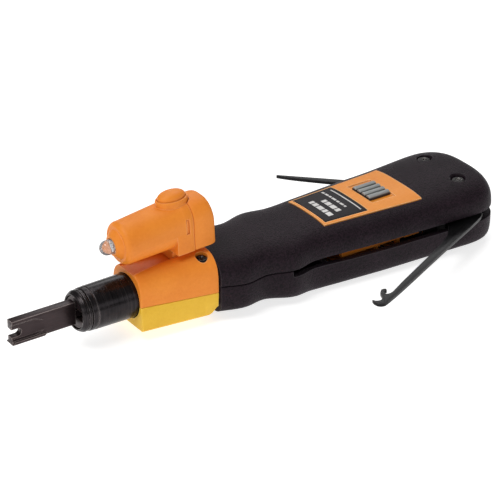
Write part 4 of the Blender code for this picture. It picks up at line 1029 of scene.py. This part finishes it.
def make_stage():
    mesh = bpy.data.meshes.new("floor")
    reach = FLOOR_REACH
    mesh.from_pydata([(-reach, -reach, 0), (reach, -reach, 0), (reach, reach, 0), (-reach, reach, 0)], [],
                     [(0, 1, 2, 3)])
    floor = bpy.data.objects.new("floor", mesh)
    bpy.context.collection.objects.link(floor)
    floor.location.z = -FLOOR_DROP
    made, tree, shader = shader_of("pale_floor", 0.9)
    soft = noise(tree, coords(tree), 3.0, 2.0)
    tree.links.new(blend_colours(tree, soft, (0.60, 0.60, 0.60), (0.63, 0.63, 0.63)),
                   shader.inputs["Base Color"])
    shader.inputs["Specular IOR Level"].default_value = 0.0
    shader.inputs["Emission Color"].default_value = (1.0, 1.0, 1.0, 1.0)
    shader.inputs["Emission Strength"].default_value = FLOOR_GLOW
    mesh.materials.append(made)


def area(name, spot, size, power, colour=(1.0, 1.0, 1.0)):
    """A rectangular lamp at a spot, turned to the tool's middle."""
    data = bpy.data.lights.new(name, 'AREA')
    data.shape = 'RECTANGLE'
    data.size, data.size_y = size
    data.energy = power
    data.color = colour
    lamp = bpy.data.objects.new(name, data)
    bpy.context.collection.objects.link(lamp)
    lamp.location = spot
    lamp.rotation_euler = (LAMP_TARGET - Vector(spot)).to_track_quat('-Z', 'Y').to_euler()


def make_lights():
    area("key", (-0.55, -0.10, 0.95), (0.55, 0.45), 5.6, (1.0, 0.985, 0.965))
    area("top", (0.25, 0.35, 0.95), (0.7, 0.5), 2.6)
    area("fill", (0.15, -1.05, 0.42), (0.8, 0.35), 0.9, (0.97, 0.98, 1.0))
    area("front", (-1.0, -0.55, 0.30), (0.4, 0.3), 0.9)
    area("rim", (0.62, 0.85, 0.62), (0.8, 0.4), 2.0)
    world = bpy.data.worlds.new("studio")
    bpy.context.scene.world = world
    world.use_nodes = True
    backdrop = world.node_tree.nodes["Background"]
    backdrop.inputs["Color"].default_value = (1.0, 1.0, 1.0, 1.0)
    backdrop.inputs["Strength"].default_value = 0.22


def make_camera():
    camera = bpy.data.objects.new("camera", bpy.data.cameras.new("camera"))
    bpy.context.collection.objects.link(camera)
    camera.data.lens = CAMERA_LENS
    camera.data.sensor_width = CAMERA_SENSOR
    camera.data.clip_end = 20.0
    right = CAMERA_RIGHT.normalized()
    back = CAMERA_BACK.normalized()
    matrix = Matrix((right, back.cross(right), back)).transposed().to_4x4()
    matrix.translation = CAMERA_SPOT
    camera.matrix_world = matrix
    bpy.context.scene.camera = camera


make_stage()
make_lights()
make_camera()
bpy.context.scene.view_settings.view_transform = 'Standard'
